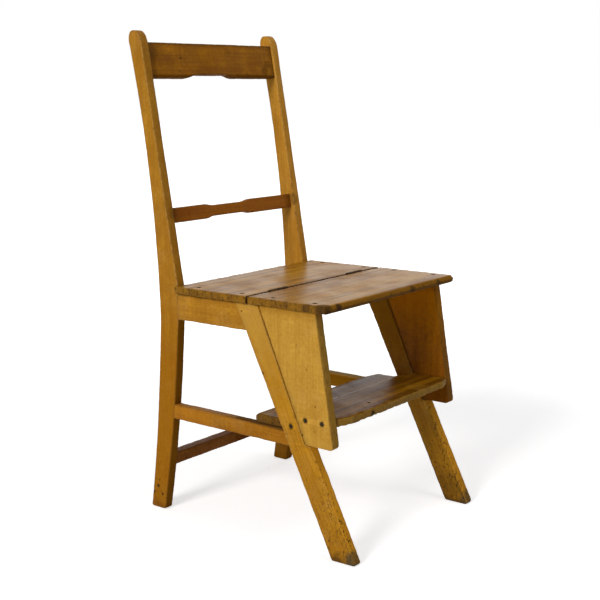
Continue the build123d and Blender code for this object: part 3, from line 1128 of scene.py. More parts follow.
class SharedGroup(Graph):
    """A node group that several materials use, which puts out masks."""

    def __init__(self, name: str, vectors: str, numbers: str, masks: str) -> None:
        """Start the group.

        Args:
            name: Name of the group.
            vectors: Names of its vector inputs, with commas between them.
            numbers: Names of its number inputs.
            masks: Names of its outputs.
        """
        super().__init__(bpy.data.node_groups.new(name, "ShaderNodeTree"))
        kinds = ((vectors, "INPUT", "Vector"), (numbers, "INPUT", "Float"), (masks, "OUTPUT", "Float"))
        for labels, way, kind in kinds:
            for label in labels.split(", "):
                self.tree.interface.new_socket(label, in_out=way, socket_type=f"NodeSocket{kind}")
        self.given = self.add("NodeGroupInput").outputs
        self.result = self.add("NodeGroupOutput").inputs

    def give(self, **masks: Socket) -> Tree:
        """Put the masks out and return the finished group."""
        self.feed_named(self.result, masks)
        return self.tree


@dataclass(frozen=True)
class Spot:
    """A knot, nail, stain or scar at one place on a piece."""

    centre: Vector
    radius: float
    colour: Colour
    strength: float


@dataclass(frozen=True)
class Shade:
    """Dirt, darker varnish, painted shade and painted light beyond a plane, which fades out before it; broken is how
    far it is torn to patches.
    """

    point: Vector
    outward: Place
    fade: float
    colour: Colour
    strength: float
    broken: float = 0.0


@dataclass(frozen=True)
class Varnish:
    """Colours, figure and shine of one kind of board."""

    body: Place
    deep: Place = (0.62, 0.5, 0.3)
    bare: Colour = (0.62, 0.38, 0.12, 1)
    grime: Colour = (0.06, 0.03, 0.01, 1)
    ring_pitch: float = 7.0 * MM
    ring_share: float = 0.2
    figure: float = 0.75
    clouds: float = 0.4
    mottle: float = 0.3
    faded: float = 0.2
    rim: float = 0.3
    edge_bare: float = 0.3
    edge_dirt: float = 0.4
    rough: float = 0.46
    shine: float = 0.1

    @property
    def light(self) -> Colour:
        """Colour of the pale wood between the rings."""
        return (*self.body, 1.0)

    def darker(self, share: float = 1.0) -> Colour:
        """Colour of the rings and the streaks, or a share of it."""
        return (*(part * deep * share for part, deep in zip(self.body, self.deep)), 1.0)


@dataclass(frozen=True)
class OldMetal:
    """Rubbed metal with dark patches."""

    clean: Colour
    tarnish: Colour
    metallic: float
    rough: float


HONEY = Varnish(body=(0.58, 0.285, 0.018), mottle=0.6, clouds=0.6, rim=0.6)
AMBER = Varnish(body=(0.70, 0.35, 0.036), mottle=0.5, rim=0.4)
PALE = Varnish(body=(0.66, 0.375, 0.052), ring_share=0.12, figure=0.5, mottle=0.45)
GOLDEN = Varnish(body=(0.60, 0.295, 0.012), ring_pitch=6.0 * MM, ring_share=0.35, figure=1.0, mottle=0.4, rim=0.4)
SIENNA = Varnish(body=(0.54, 0.225, 0.008), mottle=0.5, rim=0.5)
BROWN = Varnish(
    body=(0.60, 0.24, 0.002), deep=(0.42, 0.34, 0.22), ring_share=0.15, mottle=0.4, faded=0.0, rim=0.7,
    edge_bare=0.1,
)
# Painted shade: the right cheek's varnish is a darker, redder copy of the cheek wood, for the shade that the seat and
# the left cheek cast.
TAWNY = Varnish(body=(0.42, 0.15, 0.002), deep=(0.5, 0.42, 0.3), mottle=0.6, faded=0.0, edge_bare=0.1)
RUSSET = Varnish(body=(0.42, 0.14, 0.001), figure=0.9, faded=0.0, edge_bare=0.1)
UMBER = Varnish(body=(0.31, 0.11, 0.001), faded=0.0, edge_bare=0.1)
RUBBED = Varnish(
    body=(0.50, 0.235, 0.009), deep=(0.40, 0.32, 0.2), bare=(0.58, 0.31, 0.03, 1), ring_pitch=9.0 * MM,
    ring_share=0.1, figure=1.0, faded=0.3, edge_bare=0.4, edge_dirt=0.8, rough=0.28, shine=0.135,
)
TRODDEN = Varnish(
    body=(0.36, 0.158, 0.006), deep=(0.30, 0.24, 0.2), bare=(0.46, 0.25, 0.03, 1), ring_share=0.1, figure=1.0,
    faded=0.35, edge_bare=0.4, edge_dirt=0.8, rough=0.28, shine=0.09,
)
HIDDEN = Varnish(body=(0.42, 0.21, 0.05), ring_share=0.35, rough=0.6)
PEG = Varnish(body=(0.2, 0.09, 0.02), ring_share=0.35)
SCREW_STEEL = OldMetal((0.055, 0.038, 0.02, 1), (0.015, 0.01, 0.005, 1), 0.35, 0.55)
HINGE_STEEL = OldMetal((0.09, 0.05, 0.02, 1), (0.04, 0.022, 0.01, 1), 0.3, 0.5)


class Grain(Enum):
    """Which way a board's grain runs, as the turn that brings it upright."""

    UPRIGHT = (0.0, 0.0, 0.0)
    ACROSS = (0.0, -math.pi / 2, 0.0)
    BACKWARD = (math.pi / 2, 0.0, 0.0)
    RAKED = (math.atan(LINES.rake_share), 0.0, 0.0)


class Workshop:
    """Node groups that the chair's materials share, and the materials."""

    def __init__(self) -> None:
        """Build the shared groups once."""
        self.figure = self.build_figure()
        self.handling = self.build_handling()
        self.spot = self.build_spot()
        self.shade = self.build_shade()

    def build_figure(self) -> Tree:
        """Growth rings, streaks, fibres and pores of a board whose grain runs along Z.

        Returns:
            The group.
        """
        group = SharedGroup("wood_figure", "Place", "Pitch, Ring share", "Figure, Pores, Mottle, Relief")
        place, share = group.given["Place"], group.given["Ring share"]
        flat = group.add("ShaderNodeCombineXYZ")
        group.feed_all(flat.inputs, group.apart(place)[:2])
        warp = group.stretched(place, 9.0, 2.4, 3.0)
        bent = group.scaled(warp, 0.06, group.vector("LENGTH", flat.outputs[0]))
        phase = group.math("FRACT", group.math("DIVIDE", bent, group.given["Pitch"]))
        ring = group.times(group.ramp(phase, 0.1, 0.85), group.ramp(phase, 0.9, 1.0, 1.0, 0.0))
        ring = group.times(ring, group.ramp(group.stretched(place, 18.0, 4.0), 0.35, 0.62))
        broad = group.stretched(place, 70.0, 3.0, 3.0)
        streak = group.ramp(group.scaled(group.stretched(place, 330.0, 7.0), 0.6, broad), 0.66, 0.98)
        pores = group.ramp(group.stretched(place, 1100.0, 110.0), 0.6, 0.76)
        return group.give(
            figure=group.scaled(ring, share, group.times(streak, group.math("SUBTRACT", 1.0, share))),
            pores=pores,
            mottle=group.ramp(group.noise(place, 210.0, 4.0, 0.68), 0.4, 0.66),
            relief=group.scaled(pores, -0.6, group.scaled(ring, -0.3, group.stretched(place, 700.0, 14.0))),
        )

    def build_handling(self) -> Tree:
        """Rubbed and darkened edges, clouded and faded varnish, small dark dots and grime at the feet.

        Returns:
            The group.
        """
        group = SharedGroup("handling", "Place", "Arris", "Bare, Edge dirt, Rim, Clouds, Faded, Dots, Foot")
        place, arris = group.given["Place"], group.given["Arris"]
        coarse = group.noise(place, 30.0, 3.0, 0.6)
        fine = group.noise(place, 240.0, 3.0, 0.62)
        worn = group.scaled(coarse, 0.3, group.scaled(arris, 0.7, group.times(fine, 0.3)))
        nicks = group.scaled(arris, 0.42, group.noise(place, 110.0, 4.0, 0.72))
        cells = group.add("ShaderNodeTexVoronoi")
        group.feed_named(cells.inputs, {"vector": place, "scale": 34.0})
        size = group.ramp(group.apart(cells.outputs["Color"])[0], 0.5, 1.0, 0.0, 0.042)
        dots = group.ramp(group.math("SUBTRACT", size, cells.outputs["Distance"]), -0.012, 0.02)
        specks = group.ramp(group.noise(place, 520.0, 2.0, 0.8), 0.66, 0.73, 0.0, 0.6)
        height = group.apart(place)[2]
        sole = group.ramp(group.scaled(coarse, -0.05, height), -0.028, -0.004, 0.8, 0.0)
        scuffs = group.ramp(group.noise(place, 170.0, 4.0, 0.75), 0.54, 0.64)
        scuffs = group.times(scuffs, group.ramp(height, 0.04, 0.2, 0.7, 0.0))
        edge = group.times(group.ramp(height, 0.02, 0.16, 0.8, 0.0), group.ramp(arris, 0.4, 0.9))
        low = group.larger(scuffs, group.times(edge, group.ramp(fine, 0.35, 0.6)))
        return group.give(
            bare=group.ramp(worn, 0.84, 1.1),
            edge_dirt=group.ramp(nicks, 0.9, 1.02),
            rim=group.ramp(group.scaled(coarse, 0.8, arris), 0.35, 1.1),
            clouds=group.ramp(group.noise(place, 13.0, 4.0, 0.62), 0.38, 0.75),
            faded=group.ramp(group.noise(place, 22.0, 5.0, 0.65), 0.48, 0.68),
            dots=group.larger(dots, specks),
            foot=group.larger(sole, low),
        )

    def build_spot(self) -> Tree:
        """One ragged round spot.

        Returns:
            The group.
        """
        group = SharedGroup("spot", "Place, Centre", "Radius", "Spot")
        place = group.given["Place"]
        away = group.math("DIVIDE", group.vector("DISTANCE", place, group.given["Centre"]), group.given["Radius"])
        ragged = group.math("SUBTRACT", group.noise(place, 300.0, 3.0, 0.6), 0.5)
        return group.give(spot=group.ramp(group.scaled(ragged, 0.9, away), 0.55, 1.15, 1.0, 0.0))

    def build_shade(self) -> Tree:
        """Shade that fades out behind a plane, with a ragged rim, and may be torn to patches.

        Returns:
            The group.
        """
        group = SharedGroup("shade", "Place, Point, Outward", "Fade, Broken", "Shade")
        place = group.given["Place"]
        away = group.vector("SUBTRACT", place, group.given["Point"])
        beyond = group.vector("DOT_PRODUCT", away, group.given["Outward"])
        share = group.math("DIVIDE", beyond, group.given["Fade"])
        ragged = group.math("SUBTRACT", group.noise(place, 70.0, 4.0, 0.65), 0.5)
        grit = group.noise(group.vector("MULTIPLY", place, (240.0, 240.0, 90.0)), 1.0, 4.0, 0.72)
        torn = group.times(group.ramp(grit, 0.52, 0.64, 1.0, 0.0), group.given["Broken"])
        whole = group.ramp(group.scaled(ragged, 1.1, share), -1.0, 0.1)
        return group.give(shade=group.times(whole, group.math("SUBTRACT", 1.0, torn)))

    def start(self, name: str) -> tuple[bpy.types.Material, Graph, Any, Socket]:
        """Start a material: the material, its graph, its shader's inputs and the place on the piece.

        Args:
            name: Name of the material.

        Returns:
            The four of them.
        """
        material = bpy.data.materials.new(name)
        material.use_nodes = True
        graph = Graph(material.node_tree)
        place = graph.add("ShaderNodeTexCoord").outputs["Object"]
        return material, graph, material.node_tree.nodes["Principled BSDF"].inputs, place

    def wood(
        self, name: str, varnish: Varnish, grain: Grain, pith: Place, stains: list[Spot | Shade]
    ) -> bpy.types.Material:
        """Varnished wood of one board.

        Args:
            name: Name of the material.
            varnish: Its colours, figure and shine.
            grain: Which way its grain runs.
            pith: Shift that brings the heart of the tree to the middle of the rings, in metres.
            stains: Knots, nails and shades on it, among them painted shade and painted light.

        Returns:
            The material.
        """
        material, graph, shader, place = self.start(name)
        turned = graph.add("ShaderNodeMapping")
        graph.feed_named(turned.inputs, {"vector": place, "rotation": grain.value, "location": pith})
        arris = graph.add("ShaderNodeAttribute", attribute_name="arris").outputs["Fac"]
        figure = graph.group(
            self.figure, place=turned.outputs[0], pitch=varnish.ring_pitch, ring_share=varnish.ring_share
        )
        worn = graph.group(self.handling, place=place, arris=arris)
        dark = varnish.darker()
        colour = varnish.light
        for mask, share, coat in (
            (figure["Figure"], varnish.figure, dark),
            (worn["Clouds"], varnish.clouds, dark),
            (worn["Faded"], varnish.faded, varnish.bare),
            (figure["Mottle"], varnish.mottle, dark),
            (figure["Pores"], PORE_SHARE, dark),
            (worn["Rim"], varnish.rim, varnish.darker(AGED_SHARE)),
            (worn["Bare"], varnish.edge_bare, varnish.bare),
        ):
            colour = graph.mix(graph.times(mask, share), colour, coat)
        dirt = graph.larger(graph.times(worn["Edge dirt"], varnish.edge_dirt), graph.times(worn["Dots"], DOT_SHARE))
        dirt = graph.larger(dirt, worn["Foot"])
        colour = graph.mix(dirt, colour, varnish.grime)
        # Dirt and every stain's share, painted shade and painted light included, roughen the surface and dull its
        # gloss.
        soil_and_painted_light = dirt
        for stain in stains:
            if isinstance(stain, Spot):
                mask = graph.group(self.spot, place=place, centre=stain.centre, radius=stain.radius)
            else:
                mask = graph.group(
                    self.shade, place=place, point=stain.point, outward=stain.outward, fade=stain.fade,
                    broken=stain.broken,
                )
            share = graph.times(mask[0], stain.strength)
            colour = graph.mix(share, colour, stain.colour)
            soil_and_painted_light = graph.larger(soil_and_painted_light, share)
        rough = graph.scaled(worn["Clouds"], CLOUD_ROUGHNESS, varnish.rough)
        rough = graph.scaled(worn["Bare"], BARE_ROUGHNESS, rough)
        rough = graph.math("MULTIPLY_ADD", soil_and_painted_light, SOIL_ROUGHNESS, rough, clamp=True)
        bump = graph.add("ShaderNodeBump")
        relief = graph.scaled(dirt, -0.8, figure["Relief"])
        graph.feed_named(bump.inputs, {"strength": 0.22, "distance": 0.3 * MM, "height": relief})
        gloss = graph.scaled(soil_and_painted_light, -varnish.shine, varnish.shine)
        for socket, value in (
            ("Base Color", colour), ("Roughness", rough), ("Specular IOR Level", gloss), ("Normal", bump.outputs[0]),
        ):
            graph.feed(shader[socket], value)
        return material

    def metal(self, name: str, finish: OldMetal, seam: float | None = None) -> bpy.types.Material:
        """Old metal with dark patches, and a band of painted shade along a seam at a depth, carrying the seat split's
        dark line across the hinge.

        Args:
            name: Name of the material.
            finish: Its colours and shine.
            seam: Depth of the seam in metres, if it has one.

        Returns:
            The material.
        """
        material, graph, shader, place = self.start(name)
        patches = graph.ramp(graph.noise(place, 420.0, 3.0, 0.6), 0.4, 0.6)
        colour = graph.mix(patches, finish.clean, finish.tarnish)
        if seam is not None:
            # Painted shade: the split's dark line drawn across the barrel.
            away = graph.math("ABSOLUTE", graph.math("SUBTRACT", graph.apart(place)[1], seam))
            colour = graph.mix(graph.ramp(away, 0.9 * MM, 1.7 * MM, 0.95, 0.0), colour, (0.01, 0.005, 0.002, 1))
        graph.feed(shader["Base Color"], colour)
        shader["Specular IOR Level"].default_value = METAL_SPECULAR
        graph.feed(shader["Metallic"], graph.ramp(patches, 0.0, 1.0, finish.metallic, finish.metallic / 2))
        graph.feed(shader["Roughness"], graph.ramp(patches, 0.0, 1.0, finish.rough, finish.rough + PATCH_ROUGHNESS))
        return material


@dataclass
class Assembly:
    """A group of boards that move together."""

    site: Site
    workshop: Workshop
    body: str

    def fit(
        self, piece: Piece, node: str, slot: str, varnish: Varnish, grain: Grain, pith: Place,
        stains: list[Spot | Shade],
    ) -> None:
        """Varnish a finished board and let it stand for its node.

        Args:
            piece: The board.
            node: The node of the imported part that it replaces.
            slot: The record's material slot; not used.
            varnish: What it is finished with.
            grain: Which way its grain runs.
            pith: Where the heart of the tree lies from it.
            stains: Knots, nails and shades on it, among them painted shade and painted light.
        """
        piece.data.materials.clear()
        piece.data.materials.append(self.workshop.wood(f"{piece.name}_wood", varnish, grain, pith, stains))
        JOINERY.smooth(piece)
        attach(piece, self.body)
        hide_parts(node)
        log.info("%s: %d faces", piece.name, len(piece.data.polygons))

    def spots(self, *rows: tuple[float, ...], colour: Colour = KNOT) -> list[Spot]:
        """Spots of one colour, each from its place, radius and strength, with lengths in millimetres."""
        return [Spot(self.site.point(*row[:3]), row[3] * MM, colour, row[4]) for row in rows]

    def shades(self, *rows: tuple) -> list[Shade]:
        """Shades, each from a place, outward way, fade, colour, strength and how broken; lengths in millimetres.

        Args:
            rows: One row for each shade, in that order.

        Returns:
            The shades.
        """
        return [
            Shade(self.site.point(*place), tuple(outward), fade * MM, *rest) for place, outward, fade, *rest in rows
        ]

    def end_grain(self) -> list[Shade]:
        """Darkened and cracked ends of a seat board.

        Returns:
            The shades at both ends.
        """
        stains = []
        for side, outward in ((-1, LEFT), (1, RIGHT)):
            plane = (side * 205.4, 0, 0)
            stains += self.shades(
                (plane, outward, 1.4, (0.17, 0.08, 0.012, 1), 0.6),
                (plane, outward, 1.6, (0.018, 0.01, 0.004, 1), 0.7, 1.0),
            )
        return stains

    def wells(self, across: float, *places: tuple[float, float]) -> list[Spot]:
        """Dark rims round screws in a side face, at places of depth and height."""
        return self.spots(*((across, *place, 6.4, 0.72) for place in places))


class RearFrame(Assembly):
    """The rear posts, the back, and the low bar between the posts."""

    def make(self) -> None:
        """Build and dress every piece."""
        for side in SIDES:
            self.post(side)
        self.back()
        shaded = self.shades(((60, 0, 0), RIGHT, 120, (0.08, 0.02, 0.001, 1), 0.7))
        self.fit(
            RearStretcher(self.site).build(), "rear_stretcher", "frame_wood", UMBER, Grain.ACROSS, (0.22, 0.14, 0.3),
            shaded,
        )

    def post(self, side: int) -> None:
        """Build and dress one rear post, which is darker below the seat, with painted shade on its front face below
        the seat.

        Args:
            side: -1 for the left post, 1 for the right one.
        """
        post = RearPost(self.site, side=side)
        stains = self.shades(((0, 0, 300), DOWN, 220, (0.28, 0.095, 0.001, 1), 0.5))
        if side > 0:
            stains += self.shades(((0, 0, 190), DOWN, 90, (0.2, 0.075, 0.001, 1), 0.5))
        joints = ((60, 903), (60, 889), (22, 582))
        stains += self.spots(*((side * post.inner, *place, 15, 0.35) for place in joints))
        if side < 0:
            marks = ((68, 45, 4.5), (80, 31, 4.0), (57, 30, 3.5), (64, 58, 2.5))
            stains += self.spots(*((-post.outer, *mark, 0.75) for mark in marks))
        # Painted shade on the front face below the seat, one plane for each slant of the splayed post.
        for low, high in ((0.0, post.shin), (post.shin, post.waist)):
            rise = Vector((0, post.front(high) - post.front(low), high - low)).normalized()
            stains += self.shades(((0, post.front(low), low), (0, -rise.z, rise.y), 2, (0.16, 0.06, 0.001, 1), 0.65))
        self.fit(
            post.build(), f"{post.word}_rear_post", "frame_wood", HONEY if side < 0 else AMBER, Grain.UPRIGHT,
            (0.16 * side, 0.11, 0.5 * side), stains,
        )

    def back(self) -> None:
        """Build and dress the two rails of the back."""
        top = BackRail(self.site)
        face = LINES.back_face(top.bottom) + top.setback
        stains = self.spots(*(
            (across, face + LINES.post_lean * (height - top.bottom) / LINES.post_rise, height, radius, strength)
            for across, height, radius, strength in (
                (-95, 871, 2.4, 0.8), (-102, 847, 2.0, 0.7), (150, 848, 12.0, 0.4), (160, 862, 10.0, 0.3),
                (-165, 880, 13.0, 0.3), (40, 886, 9.0, 0.2), (92, 838, 8.0, 0.3),
            )
        ))
        stains += self.shades(
            ((0, face + 11, 898), UP, 5, SOIL, 0.45),
            ((-172, 0, 0), LEFT, 16, SOIL, 0.45),
            ((174, 0, 0), RIGHT, 10, SOIL, 0.5),
            # Painted shade along the crest's underside.
            ((0, 0, 838), DOWN, 4, (0.06, 0.02, 0.001, 1), 0.6),
        )
        self.fit(top.build(), "crest_rail", "rail_wood", BROWN, Grain.ACROSS, (0.12, 0.2, 0.1), stains)
        low = BackRail(
            self.site, name="lower_back_rail", bottom=563.5, height=29.0, thickness=16.0, setback=9.0, flat=88.0,
            shoulder=24.0, rise=3.6, waisted=True, edge_radius=2.5,
        )
        ends = self.shades(((-170, 0, 0), LEFT, 16, SOIL, 0.5), ((170, 0, 0), RIGHT, 16, SOIL, 0.5))
        self.fit(low.build(), "back_rail", "rail_wood", RUSSET, Grain.ACROSS, (0.3, 0.1, 0.6), ends)


class Underframe(Assembly):
    """The raked legs, the bars between them and the posts, the fixed tread and the rear half of the seat."""

    def make(self) -> None:
        """Build and dress every piece."""
        for side in SIDES:
            self.leg(side)
            rail = SideBar(self.site, side=side)
            self.fit(
                rail.build(), f"{rail.word}_seat_rail", "frame_wood", HONEY, Grain.BACKWARD,
                (0.09, 0.12 * side + 0.27, 0.3), self.shades(((0, 0, rail.top), UP, 7, SOIL, 0.5)),
            )
            bar = SideBar(self.site, side=side, name="low_bar", bottom=189.5, top=218.0, back=19.0)
            self.fit(
                bar.build(), f"{bar.word}_side_stretcher", "frame_wood", SIENNA, Grain.BACKWARD,
                (0.15, 0.1 * side + 0.35, 0.1), self.trodden_edge(side),
            )
        self.boards()

    def trodden_edge(self, side: int) -> list[Shade]:
        """A darker front and a dark line along the top arris of the left low bar, under the tread's ear; a darker face
        and the bare top of the right one.

        Args:
            side: -1 for the left bar, 1 for the right one.

        Returns:
            The shades.
        """
        if side > 0:
            return self.shades(
                ((0, 0, 213), DOWN, 3, (0.2, 0.085, 0.001, 1), 0.7),
                ((0, 0, 217.2), UP, 1, (0.5, 0.36, 0.14, 1), 0.7),
            )
        return self.shades(((0, -100, 0), AHEAD, 60, SOIL, 0.2), ((0, -150, 217.6), (0, -0.03, 0.999), 1, SOIL, 0.7))

    def leg(self, side: int) -> None:
        """Build and dress one raked leg.

        Args:
            side: -1 for the left leg, 1 for the right one.
        """
        leg = FrontLeg(self.site, side=side)
        stains = self.wells(side * leg.outer, (LINES.leg_back(leg.screw_height) - leg.screw_inset, leg.screw_height))
        stains += self.shades(((0, 0, 436), UP, 6, SOIL, 0.45))
        if side < 0:
            stains += self.shades(((0, 0, 400), UP, 130, (0.5, 0.3, 0.07, 1), 0.4))
            stains += self.spots((-leg.outer, -206, 313, 3.4, 0.8), colour=(0.06, 0.02, 0.004, 1))
        else:
            stains += self.shades(
                ((0, 0, 36), DOWN, 44, (0.06, 0.026, 0.006, 1), 0.7, 0.25),
                # Painted shade on the upper inner face, under the seat.
                ((0, 0, 360), UP, 120, (0.28, 0.12, 0.002, 1), 0.5),
            )
        # Painted light: the legs' front faces are painted paler.
        ahead = Vector((0, -1, LINES.rake_share)).normalized()
        stains += self.shades(((0, LINES.leg_front(100) + 1, 100), ahead, 1.2, (0.82, 0.36, 0.02, 1), 0.5))
        stains.append(self.cracked_arris(side))
        stains += self.spots((side * 193, LINES.leg_front(12), 12, 19, 0.7), colour=(0.06, 0.05, 0.028, 1))
        self.fit(
            leg.build(), f"{leg.word}_front_leg", "frame_wood", GOLDEN, Grain.RAKED,
            (0.19 + 0.04 * side, 0.06, 0.2 * side), stains,
        )

    def cracked_arris(self, side: int) -> Shade:
        """Dark cracks along a front arris of the left or the right leg, wider towards its foot.

        Args:
            side: -1 for the left leg, 1 for the right one.

        Returns:
            The shade.
        """
        slope = Vector((0, LINES.rake_share, 1)).normalized()
        ahead = Vector((0, -slope.z, slope.y))
        across = -198 if side < 0 else 180
        leaning = Vector(LEFT) + ahead - slope * 0.065
        start = (across, LINES.leg_front(205), 205)
        return self.shades((start, leaning.normalized(), 5, (0.03, 0.02, 0.01, 1), 0.9, 1.0))[0]

    def boards(self) -> None:
        """Build and dress the rear half of the seat and the fixed tread."""
        seat = SeatBoard(self.site)
        stains = self.spots(*((*place, 5.6, 0.8) for place in seat.screws))
        # Painted shade in the gap of the split, on the rear half's front edge.
        stains += self.shades(((0, -175.4, 0), AHEAD, 1.6, SPLIT_PAINTED_SHADE, 0.85))
        stains += self.spots(*((side * 188, 0, 450, 17, 0.45) for side in SIDES))
        stains += self.end_grain()
        self.fit(seat.build(), "rear_seat_board", "seat_wood", RUBBED, Grain.ACROSS, (0.1, 0.3, 0.1), stains)
        tread = LowerTread(self.site)
        back = LINES.leg_back(tread.top) + tread.overhang - 9
        ear = (-191.6, 0, 0)
        worn = self.shades(
            ((0, back, tread.top), (0, 0.7, -0.7), 4, (0.2, 0.11, 0.03, 1), 0.5),
            (ear, LEFT, 1.2, (0.10, 0.05, 0.012, 1), 0.6),
            (ear, LEFT, 1.2, (0.02, 0.01, 0.004, 1), 0.7, 1.0),
            ((-188, 0, 219), DOWN, 3, SOIL, 0.7),
        )
        self.fit(tread.build(), "lower_tread", "tread_wood", TRODDEN, Grain.ACROSS, (0.24, 0.2, 0.5), worn)


class Flap(Assembly):
    """The front half of the seat with the cheeks and the step that swing with it."""

    def make(self) -> None:
        """Build and dress every piece."""
        self.seat()
        for side in SIDES:
            self.cheek(side)
        step = FoldingStep(self.site)
        stains = self.nose(step)
        self.fit(step.build(), "folding_step", "tread_wood", TRODDEN, Grain.ACROSS, (0.11, 0.3, 0.8), stains)

    def nose(self, step: FoldingStep) -> list[Spot | Shade]:
        """Raw worn wood along the front of the step, with a knot in it and a scar behind.

        Args:
            step: The step, for its sizes.

        Returns:
            The stains.
        """
        front = step.front
        raw = (0.29, 0.165, 0.03, 1)
        stains = self.shades(((0, front + 1.6, 0), AHEAD, 2, raw, 0.6))
        width, depth = step.front_corner
        for side, outward in ((-1, LEFT), (1, RIGHT)):
            slant = Vector((side * depth, -width, 0)).normalized()
            end = self.site.point(side * step.half, front + depth, 0) - slant * 1.6 * MM
            stains.append(Shade(end, tuple(slant), 2 * MM, raw, 0.6))
            stains += self.shades(((side * (step.half - 2), 0, 0), outward, 2, SOIL, 0.7))
        stains += self.shades(((0, front + 3, 0), AHEAD, 5, (0.02, 0.012, 0.006, 1), 0.3, 1.0))
        return stains + self.spots((-86, front, 241, 7, 0.85), (-58, -338, 250, 4, 0.85))

    def seat(self) -> None:
        """Build and dress the front half of the seat."""
        board = SeatBoard(
            self.site, name="seat_front_half", front=-354.3, back=-179.8, rounded=True, screw_across=188.5,
            screw_depths=(-225.8, -318.3),
        )
        nose = (0, -351.5, 0)
        stains = self.spots(*((*place, 5.6, 0.8) for place in board.screws))
        stains += self.shades(
            # Painted shade in the gap of the split, on the front half's back edge.
            ((0, -181.2, 0), BEHIND, 1.6, SPLIT_PAINTED_SHADE, 0.85),
            (nose, AHEAD, 4, (0.2, 0.085, 0.008, 1), 0.8),
            (nose, AHEAD, 4, (0.02, 0.011, 0.005, 1), 0.5, 1.0),
            ((0, -352.4, 439), (0, -0.72, -0.69), 2, (0.07, 0.032, 0.008, 1), 0.7),
        )
        stains += self.end_grain()
        stains += self.spots(
            (-203, -346, 446, 19, 0.7), (-206, -312, 443, 11, 0.5), (-206, -268, 446, 7, 0.35),
            (-168, -354, 444, 9, 0.8), (60, -354, 442, 9, 0.6), (150, -354, 443, 7, 0.6),
        )
        self.fit(board.build(), "front_seat_board", "seat_wood", RUBBED, Grain.ACROSS, (0.13, 0.5, 0.3), stains)

    def cheek(self, side: int) -> None:
        """Build and dress one cheek.

        Args:
            side: -1 for the left cheek, 1 for the right one.
        """
        cheek = Cheek(self.site, side=side)
        stains = self.wells(side * cheek.outer, (-338.0, cheek.screw_height), (-301.5, cheek.screw_height))
        if side < 0:
            # Painted shade along the top of the cheek, under the seat.
            stains += self.shades(((0, 0, 434), UP, 22, (0.28, 0.12, 0.012, 1), 0.55))
        else:
            stains += self.shades(
                # Painted light: the right cheek's upper inner face is painted paler.
                ((0, 0, 400), UP, 110, (0.72, 0.26, 0.001, 1), 0.5),
                # Painted shade right under the seat.
                ((0, 0, 434), UP, 22, (0.10, 0.03, 0.001, 1), 0.6),
                # Painted shade under the step.
                ((0, 0, 234), DOWN, 5, (0.14, 0.04, 0.001, 1), 0.5),
            )
        bottom, top = LINES.cheek_bottom, LINES.seat_underside
        edge = Vector((0, -1, 0.153)).normalized()
        front = (0, LINES.cheek_front(top) + 1.2, top)
        stains += self.shades(
            ((0, LINES.cheek_back(bottom) - 2, bottom), (0, 0.9, -0.44), 14, SOIL, 0.3),
            (front, edge, 1.6, (0.12, 0.065, 0.012, 1), 0.5),
            (front, edge, 2.4, (0.03, 0.016, 0.006, 1), 0.3, 1.0),
        )
        if side < 0:
            nails = (
                (-323.9, 271, 1.8, 0.7), (-322.1, 226, 1.7, 0.5), (-295, 215.3, 2.4, 0.8), (-305.3, 334.3, 1.7, 0.6),
                (-284, 374.5, 1.6, 0.5),
            )
            stains += self.spots(*((-cheek.outer, *nail) for nail in nails))
        # The right cheek gets TAWNY, a shaded copy of the cheek wood: painted shade.
        self.fit(
            cheek.build(), f"{cheek.word}_cheek", "frame_wood", PALE if side < 0 else TAWNY, Grain.UPRIGHT,
            (0.21 * side, 0.3, 0.7 * side), stains,
        )


@dataclass
class Fittings:
    """Screws, pegs, hinges and hidden rails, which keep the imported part's own shapes."""

    workshop: Workshop
    nodes: dict[str, Piece]
    seam: float

    def make(self) -> None:
        """Dress every node that is kept."""
        steel = self.workshop.metal("screw_steel", SCREW_STEEL)
        hinge = self.workshop.metal("hinge_steel", HINGE_STEEL, self.seam)
        hidden = self.workshop.wood("hidden_rail_wood", HIDDEN, Grain.ACROSS, (0.2, 0.2, 0.2), [])
        peg = self.workshop.wood("peg_wood", PEG, Grain.ACROSS, (0.1, 0.2, 0.2), [])
        looks = {"hinge": hinge, "screws": steel, "pegs": peg, "rear_seat_rail": hidden, "front_seat_rail": hidden}
        for name, node in self.nodes.items():
            look = next((look for word, look in looks.items() if word in name), None)
            if look:
                node.data.materials.clear()
                node.data.materials.append(look)
                log.info("%s: %s", name, look.name)


@dataclass(frozen=True)
class Lamp:
    """A soft square lamp."""

    name: str
    place: Place
    target: Place
    size: float
    watts: float
    colour: Place


